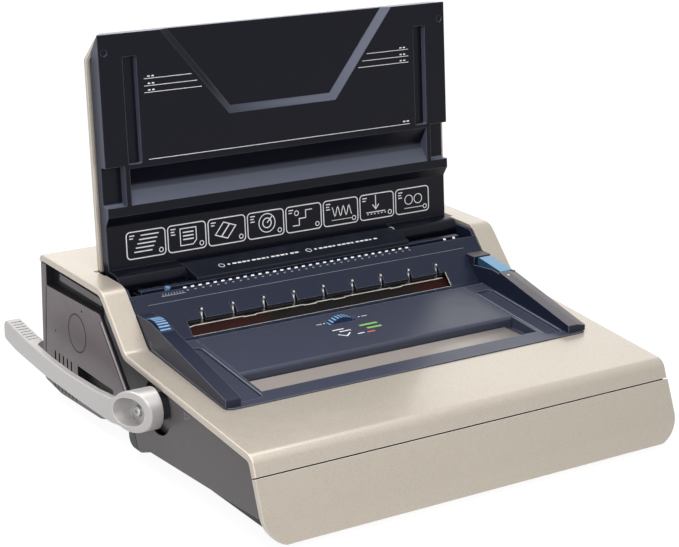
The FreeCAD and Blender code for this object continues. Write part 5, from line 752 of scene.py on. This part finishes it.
def circle(cx, cy, r, steps=20):
    """Centre plus r times (cos, sin), once round."""
    turn = np.linspace(0.0, 2.0 * math.pi, steps + 1)
    return np.stack([cx + r * np.cos(turn), cy + r * np.sin(turn)], axis=1)


def rounded_frame(cx, cy, half_w, half_h, r):
    """A rectangle with quarter circles at its corners: each corner's centre plus r (cos, sin)."""
    turn = np.radians(np.arange(0, 91, 15))
    signs = [(1, 1, 0), (-1, 1, 90), (-1, -1, 180), (1, -1, 270)]
    ring = [np.stack([cx + sx * (half_w - r) + r * np.cos(turn + math.radians(a)),
                      cy + sy * (half_h - r) + r * np.sin(turn + math.radians(a))], axis=1)
            for sx, sy, a in signs]
    ring = np.vstack(ring)
    return np.vstack([ring, ring[:1]])


print("points of a ring and a frame:", len(circle(0, 0, 1)), len(rounded_frame(0, 0, 2, 1, 0.3)))

# %% [markdown]
# Eight plain figures fill the lid's pictures: a sheet with rules, an arrow over a row of dots, a
# ring in a ring, a stair of rules, a wave, a tilted sheet, two rings and a line of steps. Each is
# a few strokes about a centre, so that the same figure can stand in any frame.

# %% Eight plain figures
def figures(x, s):
    """Strokes of eight plain figures about the centre (x, s): lists of (points, width)."""
    sheet = [(x - 9, s - 9), (x + 5, s - 9), (x + 9, s - 5), (x + 9, s + 8), (x - 9, s + 8),
             (x - 9, s - 9)]
    rules = [(line(x - 6, s + 4 - 3.6 * i, x + 6, s + 4 - 3.6 * i), 1.3) for i in range(3)]
    arrow = [(line(x, s + 11, x, s - 3), 1.1), ([(x - 4, s + 1), (x, s - 4), (x + 4, s + 1)], 1.1)]
    dots = [(line(x - 11 + 4.4 * i, s - 9, x - 9.2 + 4.4 * i, s - 9), 1.0) for i in range(6)]
    stairs = [(line(x - 12 + 2 * i, s - 8 + 4 * i, x + 8 + 2 * i, s - 8 + 4 * i), 1.2)
              for i in range(5)]
    along = np.linspace(-12, 12, 25)
    wave = np.stack([x + along, s + 5 * np.sin(along * 0.9)], axis=1)
    tilted = [(x - 12, s - 4), (x + 2, s - 9), (x + 12, s + 3), (x - 2, s + 8), (x - 12, s - 4)]
    steps = [(x - 12, s - 8), (x - 4, s - 8), (x - 4, s - 1), (x + 4, s - 1), (x + 4, s + 7),
             (x + 12, s + 7)]
    return [
        [(sheet, 1.0)] + rules,
        arrow + [(line(x - 12, s - 7, x + 12, s - 7), 1.0)] + dots,
        [(circle(x, s, 9.6), 1.0), (circle(x, s, 5.0), 1.2), (line(x, s, x + 7, s + 7), 1.2)],
        stairs,
        [(wave, 0.9), (line(x - 13, s - 9, x + 13, s - 9), 0.6)],
        [(tilted, 1.1), (line(x - 5, s - 6.5, x + 5, s + 5.5), 1.4)],
        [(circle(x - 6, s, 5.0), 0.9), (circle(x + 6, s, 5.0), 0.9),
         (line(x - 12, s - 9, x + 12, s - 9), 0.7)],
        [(steps, 1.0), (circle(x - 7, s + 5, 2.4), 0.9)],
    ]


print("strokes in each figure:", [len(figure) for figure in figures(0.0, 0.0)])

# %% [markdown]
# The lid's band carries eight small framed pictures, printed in white. A loop sets them out at
# one pitch: a rounded frame, a figure, a small ring in the frame's corner and two or three
# dashes. It takes the figures five places apart, so that no two neighbours look alike.

# %% Pictures on the lid's band
INK_SKIN = {"grain": 5000.0, "grain_depth": 0.000003, "edge": 0.00005}
PRINT_WHITE = finish("print_white", (0.97, 0.97, 0.99), 0.55, **INK_SKIN)
FRAME_PITCH, FRAME_HALF_W, FRAME_HALF_H, FRAME_MID_S = 45.6, 21.3, 13.4, 15.8
FRAME_XS = (np.arange(8) - 3.5) * FRAME_PITCH
pictures = []
for i, x in enumerate(FRAME_XS):
    pictures.append((rounded_frame(x, FRAME_MID_S, FRAME_HALF_W, FRAME_HALF_H, 4.0), 1.1))
    pictures += figures(x - 1.5 + 3.0 * (i % 2), FRAME_MID_S + 1.0)[(5 * i + 3) % 8]
    pictures.append((circle(x + FRAME_HALF_W - 5.0, FRAME_MID_S - FRAME_HALF_H + 5.0, 2.2, 12), 0.9))
    pictures += [(line(x - 18.0, s, x - 18.0 + reach, s), 1.1)
                 for s, reach in ((25.4, 5.6), (22.6, 4.0), (19.8, 5.0))[:2 + i % 2]]
ink("lid_pictures", pictures, on_band, "lid", PRINT_WHITE)

# %% [markdown]
# Higher up, the lid's face is ruled as a guide for sheet sizes: one long line, and three short
# ones on each side that step inwards. Both sides are one loop over a sign, so they can't drift
# apart.

# %% Rules on the lid's face
rules = [(line(-154.6, 99.6, 154.6, 99.6), 0.6)]
for side in (-1, 1):
    for s, inner in ((178.0, 103.0), (171.0, 97.0), (164.6, 92.0)):
        rules.append((line(side * 155.0, s, side * inner, s), 0.55))
        for k in range(2):
            at = side * (151.0 - 4.4 * k)
            rules.append((line(at, s + 2.2, at - side * 2.6, s + 2.2), 1.3))
rules += [(line(146.0 + 4.6 * k, 102.6, 149.0 + 4.6 * k, 102.6), 1.4) for k in range(2)]
ink("lid_rules", rules, on_face, "lid", PRINT_WHITE)

# %% [markdown]
# Over the paper slot the deck has a dash for every hole, each with a dimmer one below it, and at
# its left a few stripes that show how far the sheet's edge reaches. The deck is bent a little, so
# its depth under the casing's slope is read off three measured places and is straight between
# them. The holes' pitch is a third of an inch, and their places follow from it.

# %% Marks on the deck
CREST, VALLEY = np.array([64.8, 149.4]), np.array([16.9, 100.2])
DOWN = (VALLEY - CREST) / np.linalg.norm(VALLEY - CREST)
INTO = np.array([-DOWN[1], DOWN[0]])
PRINT_DIM = finish("print_dim", (0.25, 0.27, 0.33), 0.55, **INK_SKIN)
HOLE_XS = -13.5 + (np.arange(32) - 15.5) * 25.4 / 3.0
ROW_S = 11.2


def on_slope(rows, depth):
    """x stays; (y, z) = crest + s times the step down the slope + depth times the one into it."""
    depth = np.broadcast_to(depth, len(rows))
    yz = CREST + rows[:, 1:] * DOWN + depth[:, None] * INTO
    return np.column_stack([rows[:, 0], yz])


def on_deck(rows):
    """Depth of the deck's face: 2 at s = 8, 2.5 at s = 23, 1.75 at s = 63.9, straight between."""
    return on_slope(rows, np.interp(rows[:, 1], [8.0, 23.0, 63.9], [2.0, 2.5, 1.75]) - INK_T)


marks = [(line(x - 1.8, ROW_S, x + 1.8, ROW_S), 1.6) for x in HOLE_XS]
marks += [(line(165.6 + 12.0 * k, 9.6, 168.8 + 12.0 * k, 9.6), 2.2) for k in range(2)]
ink("deck_marks", marks, on_deck, "casing", PRINT_WHITE)
dim_marks = [(line(x + 1.0, ROW_S + 3.2, x + 3.4, ROW_S + 3.2), 1.2) for x in HOLE_XS]
# The long thin line at s = 23 is a painted highlight along the deck's crease; the rest is print.
dim_marks += [(line(-189.0, 23.0, 186.0, 23.0), 0.4), (line(-172.0, 16.4, -146.0, 16.4), 0.8)]
dim_marks += [(line(-170.0 + 3.1 * k, 15.9, -170.0 + 3.1 * k, 13.6), 0.8) for k in range(8)]
ink("deck_dim_marks", dim_marks, on_deck, "casing", PRINT_DIM)

# %% [markdown]
# The comb's upper edge is ground and shines against its dark face. The solid has the steps of that edge; a
# thin bright line on it, a painted highlight with the same steps, makes it shine as the real one does. The
# slot's right and lower edges catch the light too, and get thinner lines of painted highlight.

# %% Painted highlights on the edges of the comb and the slot
COMB_DEPTH = 8.8
HOOK_PITCH = 34.9
HOOK_XS = 2.6 + (np.arange(9) - 4) * HOOK_PITCH
# Painted highlight: a pale cream for bright lines laid where edges shine.
HIGHLIGHT_CREAM = finish("painted_highlight_cream", (0.93, 0.88, 0.80), 0.3, metallic=0.2, brushed=2400.0,
                    grain_depth=0.000003, edge=0.00005)


def comb_edge_line():
    """Corners (x, s): s is 49.4, and 0.8 more for 7 mm on both sides of some half-way points."""
    corners = [(-154.0, 50.6), (-147.0, 49.4)]
    for i in (1, 3, 4, 6):
        x = HOOK_XS[i] + 17.4
        corners += [(x - 7.2, 49.4), (x - 7.0, 50.2), (x + 7.0, 50.2), (x + 7.2, 49.4)]
    return corners + [(149.0, 49.4)]


def on_comb(rows):
    """Just over the comb's face, which lies at one depth."""
    return on_slope(rows, COMB_DEPTH - INK_T)


ink("comb_edge_highlight", [(comb_edge_line(), 1.0)], on_comb, "casing", HIGHLIGHT_CREAM)
slot_edges = [(line(150.2, 46.8, 150.2, 62.4), 0.5), (line(-155.6, 63.3, 150.6, 63.3), 0.35)]
ink("slot_edge_highlight", slot_edges, on_deck, "casing", HIGHLIGHT_CREAM)

# %% [markdown]
# The hinge's flat cover carries two rows of dashes behind a small ring, which stand for its
# printed notes. They say nothing, so they may repeat: every fourth dash is a short one, and a
# loop sets them out.

# %% Dashes on the hinge's cover
def on_bridge(rows):
    """The cover's flat top rises towards the rear by 0.2126 mm for each millimetre."""
    return np.stack([rows[:, 0], rows[:, 1], 131.46 + 0.2126 * rows[:, 1]], axis=-1)


BRIDGE_Y = 79.0
notes = []
for x0, count in ((-92.0, 15), (10.0, 14)):
    notes.append((circle(x0, BRIDGE_Y, 3.0, 16), 0.7))
    starts = [x0 + 7 + 5.6 * k for k in range(count)]
    notes += [(line(x, BRIDGE_Y, x + (4.2 if k % 4 else 2.6), BRIDGE_Y), 2.4)
              for k, x in enumerate(starts)]
ink("bridge_marks", notes, on_bridge, "casing", PRINT_WHITE)

# %% [markdown]
# On the tray, short ticks point at the size wheel from both sides, and a small label of bars in white,
# green and red is laid out before it. Along the edges of the troughs beside the tray, thin pale lines are
# painted highlights. All of it lies on the tray's plane, which rises gently to the rear.

# %% Ticks, label and painted highlight lines on the tray
TRAY_Z, TRAY_RISE = 101.6, 0.088
PRINT_GREEN = finish("print_green", (0.28, 0.55, 0.16), 0.5, **INK_SKIN)
PRINT_RED = finish("print_red", (0.62, 0.16, 0.11), 0.5, **INK_SKIN)
# Painted highlight colour for the troughs' edges.
TROUGH_HIGHLIGHT_NAVY = finish("trough_highlight_navy", (0.27, 0.29, 0.36), 0.4, **INK_SKIN)


def on_tray(rows):
    """x and y stay; z = the tray's height at y = 0 plus its rise times y, and the ink's thickness."""
    return np.stack([rows[:, 0], rows[:, 1], TRAY_Z + TRAY_RISE * rows[:, 1] + INK_T], axis=-1)


ticks = [(line(-34.0, -6.0, -28.0, -6.0), 0.9), (line(-26.0, -6.0, -24.4, -6.0), 1.4),
         (line(15.0, -6.0, 16.6, -6.0), 1.4), (line(18.6, -6.0, 25.0, -6.0), 0.9)]
ink("tray_marks", ticks, on_tray, "casing", PRINT_WHITE)
# Painted highlights: pale lines just outside both edges of each trough.
troughs = [(-187.0, -163.0), (163.0, 182.0)]
trough_highlights = [(line(x, -8.0, x, -115.0), 0.8) for pair in troughs for x in (pair[0] - 0.9, pair[1] + 0.9)]
ink("trough_highlight_lines", trough_highlights, on_tray, "casing", TROUGH_HIGHLIGHT_NAVY)
white_bars = [(line(-27.0, -24.0, -14.0, -24.0), 1.6), (line(-22.0, -29.0, -9.0, -29.0), 1.6),
              ([(-27.0, -34.0), (-20.0, -40.0), (-13.0, -34.0)], 1.4),
              (line(-8.0, -40.0, 0.0, -40.0), 1.4)]
ink("label_white", white_bars, on_tray, "casing", PRINT_WHITE)
green_bars = [(line(4.0, -24.5, 25.0, -24.5), 3.2), (line(8.0, -32.5, 25.0, -32.5), 3.2)]
ink("label_green", green_bars, on_tray, "casing", PRINT_GREEN)
ink("label_red", [(line(3.0, -40.5, 12.0, -40.5), 2.6)], on_tray, "casing", PRINT_RED)

# %% [markdown]
# Each side shows the joints between its mouldings as dark lines, a knock-out ring, and one bevel that
# catches the light, drawn as a pale stroke that is a painted highlight. The gaps in the solids are real but
# narrow, and a render at this size would lose them, so thin strokes in them bring them out. The left side
# has seven low vents too, and its front wall a small pressed triangle.

# %% Seams, rings, vents and a painted bevel highlight on the sides
BEVEL_HIGHLIGHT_GREY = finish("bevel_highlight_grey", (0.60, 0.56, 0.57), 0.4, **INK_SKIN)
PRINT_BLACK = finish("seam_black", (0.008, 0.008, 0.009), 0.6, **INK_SKIN)
SIDES = (("left", -1.0), ("right", 1.0))


def on_side(sign):
    """A map onto one side's outer face: x = the sign times SIDE_X, a row's numbers are y and z."""
    def surface(rows):
        return np.stack([np.full(len(rows), sign * (SIDE_X + INK_T)), rows[:, 0], rows[:, 1]], axis=-1)
    return surface


# Painted highlight: a pale stroke along the bevel at the rear cover's front edge.
bevel = [([(67.6, 116.4), (17.8, 62.6)], 2.3)]
seams = [([(71.4, 116.0), (21.4, 62.0)], 1.0), ([(190.6, 118.0), (195.6, 46.0), (196.0, 30.0)], 1.8),
         (circle(121.3, 88.8, 19.15, 48), 1.5)]
vents = [(line(177.5 - 8.1 * k, 19.5 + 0.2 * k, 174.5 - 8.1 * k, 14.2 + 0.2 * k), 2.6)
         for k in range(7)]
for side, sign in SIDES:
    ink("bevel_highlight_" + side, bevel, on_side(sign), "casing", BEVEL_HIGHLIGHT_GREY)
    shown_seams = seams + vents if side == "left" else seams
    ink("side_seams_" + side, shown_seams, on_side(sign), "casing", PRINT_BLACK)
triangle = [(-96.0, 81.0), (-107.0, 80.0), (-97.0, 75.4), (-96.0, 81.0)]
ink("wall_mark", [(triangle, 0.7)], on_side(-1.0), "casing", PRINT_DIM)

# %% [markdown]
# Strips lie behind the open joints, so that no light shows through them: one in the recess of each side,
# one behind the rear air slots and one behind the front seam. The two black ones, behind the slots and the
# seam, are painted shade: dark sheets that stand for the shadow inside the machine. Each is a closed box
# between two corners, whose edges a Bevel modifier rounds a little.

# %% Strips behind the joints, two of them painted shade
def joint_strip(name, low, high, wear):
    """Corners = low + (high - low) times each of the eight combinations of 0 and 1."""
    share = np.stack(np.meshgrid([0, 1], [0, 1], [0, 1], indexing="ij"), axis=-1).reshape(-1, 3)
    points = np.array(low) + share * (np.array(high) - np.array(low))
    faces = [(0, 1, 3, 2), (4, 6, 7, 5), (0, 4, 5, 1), (2, 3, 7, 6), (0, 2, 6, 4), (1, 5, 7, 3)]
    piece = make_piece(name, points, faces, "casing", wear, smooth=False)
    soft = piece.modifiers.new("soft_edges", "BEVEL")
    soft.width = 0.0003
    soft.segments = 2


for side, sign in SIDES:
    low_x, high_x = sorted((sign * 224.0, sign * 220.9))
    joint_strip("recess_strip_" + side, (low_x, 80.0, 127.8), (high_x, 172.5, 134.8), SIDE_GREY)
# Painted shade: black strips behind the rear air slots and the front seam.
joint_strip("air_slot_shade", (-196.0, 195.6, 89.0), (-36.0, 197.0, 127.0), RUBBER)
joint_strip("seam_shade_strip", (-228.9, -218.4, 61.5), (228.9, -217.2, 70.5), RUBBER)

# %% [markdown]
# A thin bright ring at the hinge's right end is a painted highlight: it stands for the shine on the
# barrel's eased edge there. A torus would be round in section, and this ring is flat with eased corners, so
# its profile is drawn as six points and swept once round the hinge's axis.

# %% Painted highlight ring at the hinge
def turned(name, profile, centre, body, wear, steps=48):
    """Closed ring about an X axis: a profile of (x, r) swept by (r cos t, r sin t) about a centre."""
    profile = np.asarray(profile, dtype=float)
    count = len(profile)
    t = np.linspace(0.0, 2.0 * math.pi, steps, endpoint=False)[:, None]
    x = np.broadcast_to(profile[:, 0], (steps, count))
    y = centre[0] + profile[:, 1] * np.cos(t)
    z = centre[1] + profile[:, 1] * np.sin(t)
    points = np.stack([x, y, z], axis=-1).reshape(-1, 3)
    i, k = np.meshgrid(np.arange(steps), np.arange(count), indexing="ij")
    next_i, next_k = (i + 1) % steps, (k + 1) % count
    faces = np.stack([i * count + k, i * count + next_k, next_i * count + next_k, next_i * count + k],
                     axis=-1).reshape(-1, 4)
    return make_piece(name, points, faces, body, wear)


HINGE_YZ = (95.0, 141.0)
highlight_ring_profile = [(123.2, 10.3), (124.3, 10.3), (124.3, 10.6), (124.0, 10.75), (123.5, 10.75), (123.2, 10.6)]
# Painted highlight: the ring stands for the shine at the barrel's end.
turned("hinge_highlight_ring", highlight_ring_profile, HINGE_YZ, "casing", HIGHLIGHT_CREAM)

# %% [markdown]
# The machine is seen through a long lens from 33.5 degrees to the left of straight on, 17.9
# degrees above and with a slight roll of 1.1. Aiming the camera at a point would lose the roll,
# so its three axes are worked out from the angles and written into its matrix. The focal length
# was found in pixels of a picture 679 wide, and the sensor's width turns it into millimetres.

# %% Camera
AZIMUTH, ELEVATION, ROLL = -33.505, 17.925, 1.078
CAMERA_SPOT = (-984.0, -1480.1, 721.9)
FOCAL_PIXELS, PICTURE_PIXELS, SENSOR_MM = 1900.4, 679.0, 36.0


def aim_camera():
    """Axes from azimuth a, elevation e and roll r: back = (sin a cos e, -cos a cos e, sin e)."""
    a, e, r = (math.radians(v) for v in (AZIMUTH, ELEVATION, ROLL))
    back = Vector((math.sin(a) * math.cos(e), -math.cos(a) * math.cos(e), math.sin(e)))
    right = Vector((math.cos(a), math.sin(a), 0.0))
    up = back.cross(right)
    side = right * math.cos(r) + up * math.sin(r)
    top = up * math.cos(r) - right * math.sin(r)
    data = bpy.data.cameras.new("camera")
    data.sensor_width = SENSOR_MM
    data.lens = SENSOR_MM * FOCAL_PIXELS / PICTURE_PIXELS
    data.clip_end = 20.0
    camera = bpy.data.objects.new("camera", data)
    bpy.context.scene.collection.objects.link(camera)
    turn = Matrix((side, top, back)).transposed().to_4x4()
    camera.matrix_world = Matrix.Translation(Vector(place(CAMERA_SPOT))) @ turn
    bpy.context.scene.camera = camera
    return camera


camera = aim_camera()
print("lens:", round(camera.data.lens, 1), "mm, at", [round(v, 3) for v in camera.matrix_world.translation])

# %% [markdown]
# A white floor catches the shadow, and a white world stands behind the machine. More lamps could
# make both white, but would bleach the machine too. So the Light Path node makes them white only
# where the camera sees them, directly, through a clear part or in a glossy one. For all the other
# light they are a quiet grey.

# %% White where it is looked at
def is_looked_at(tree):
    """1 for rays from the camera, through clear parts and off glossy ones, 0 for all others."""
    path = tree.nodes.new("ShaderNodeLightPath").outputs
    seen = math_node(tree, "MAXIMUM", path["Is Camera Ray"], path["Is Transmission Ray"])
    return math_node(tree, "MAXIMUM", seen, path["Is Glossy Ray"])


def blend_shaders(tree, share, first, second, output):
    """The first shader where the share is 0 and the second where it is 1, sent to the output."""
    blend = tree.nodes.new("ShaderNodeMixShader")
    for socket, value in zip(blend.inputs, (share, first, second)):
        feed(tree, socket, value)
    feed(tree, tree.nodes[output].inputs["Surface"], blend.outputs[0])


print("stage helpers:", is_looked_at.__name__, blend_shaders.__name__)

# %% [markdown]
# The floor is one large square, a little below the feet so that nothing touches it. A shadow catcher would
# hide it in the picture, but a plain grey that is 0.72 white glow keeps both the white and a soft shadow.

# %% Floor
FLOOR_HALF, FLOOR_Z = 6000.0, -0.4


def stage_material():
    """A diffuse grey that takes the shadow, with 0.72 of a white glow where it is looked at."""
    made = bpy.data.materials.new("stage_white")
    made.use_nodes = True
    tree = made.node_tree
    shader = tree.nodes["Principled BSDF"]
    shader.inputs["Base Color"].default_value = (0.58, 0.572, 0.565, 1.0)
    shader.inputs["Roughness"].default_value = 0.9
    glow = tree.nodes.new("ShaderNodeEmission")
    glow.inputs["Strength"].default_value = 1.30
    share = math_node(tree, "MULTIPLY", is_looked_at(tree), 0.72)
    blend_shaders(tree, share, shader.outputs[0], glow.outputs[0], "Material Output")
    return made


def make_floor():
    """A square just under the feet."""
    corners = FLOOR_HALF * np.array([(-1, -1, 0), (1, -1, 0), (1, 1, 0), (-1, 1, 0)])
    mesh = bpy.data.meshes.new("floor")
    mesh.from_pydata(place(corners + (0.0, 0.0, FLOOR_Z)).tolist(), [], [(0, 1, 2, 3)])
    floor = bpy.data.objects.new("floor", mesh)
    floor.data.materials.append(stage_material())
    bpy.context.scene.collection.objects.link(floor)


make_floor()
print("floor:", 2.0 * FLOOR_HALF / 1000.0, "m square")

# %% [markdown]
# The world's light fills the shadows. Strong light from all round would flatten the machine, so
# its level is low and its tint a little cool, as a studio's walls are. Where the camera looks
# past the floor, it sees plain white instead.

# %% World
WORLD_LEVEL = 0.16


def make_world(level):
    """A cool grey light of the given level, and plain white where it is looked at."""
    world = bpy.data.worlds.new("studio")
    bpy.context.scene.world = world
    world.use_nodes = True
    tree = world.node_tree
    back = tree.nodes["Background"]
    back.inputs["Color"].default_value = (0.93, 0.95, 1.0, 1.0)
    back.inputs["Strength"].default_value = level
    white = tree.nodes.new("ShaderNodeBackground")
    white.inputs["Strength"].default_value = 1.0
    blend_shaders(tree, is_looked_at(tree), back.outputs[0], white.outputs[0], "World Output")


make_world(WORLD_LEVEL)
print("world:", bpy.context.scene.world.name, "at", WORLD_LEVEL)

# %% [markdown]
# Four soft lamps light the machine. A large one overhead does most of the work. One behind gives
# the casing's top its sheen and one at the front left lights the lever and the side. A small one
# near the tray shows its grooves. Large lamps give soft shadows, as a studio's do.

# %% Lamps
def soft_lamp(name, spot, aim, size, power, colour=(1.0, 1.0, 1.0)):
    """A rectangular area lamp at a spot, turned to a point, both in metres, with its watts."""
    data = bpy.data.lights.new(name, "AREA")
    data.shape = "RECTANGLE"
    data.size, data.size_y = size
    data.energy = power
    data.color = colour
    lamp = bpy.data.objects.new(name, data)
    lamp.location = spot
    lamp.rotation_euler = (Vector(aim) - Vector(spot)).to_track_quat("-Z", "Y").to_euler()
    bpy.context.scene.collection.objects.link(lamp)
    print("lamp:", name, power, "W")


soft_lamp("over", (-0.35, 0.3, 2.1), (0.0, 0.0, 0.1), (2.4, 2.0), 42.0)
soft_lamp("behind", (1.3, 2.3, 1.0), (0.0, 0.1, 0.1), (3.2, 1.6), 12.0, (1.0, 0.985, 0.96))
soft_lamp("front_left", (-1.75, -2.0, 1.2), (0.0, 0.0, 0.15), (1.6, 1.6), 22.0)
soft_lamp("near", (-0.2, -0.65, 0.85), (-0.05, -0.2, 0.08), (0.5, 0.5), 3.0)
view = bpy.context.scene.view_settings
view.view_transform = "Standard"
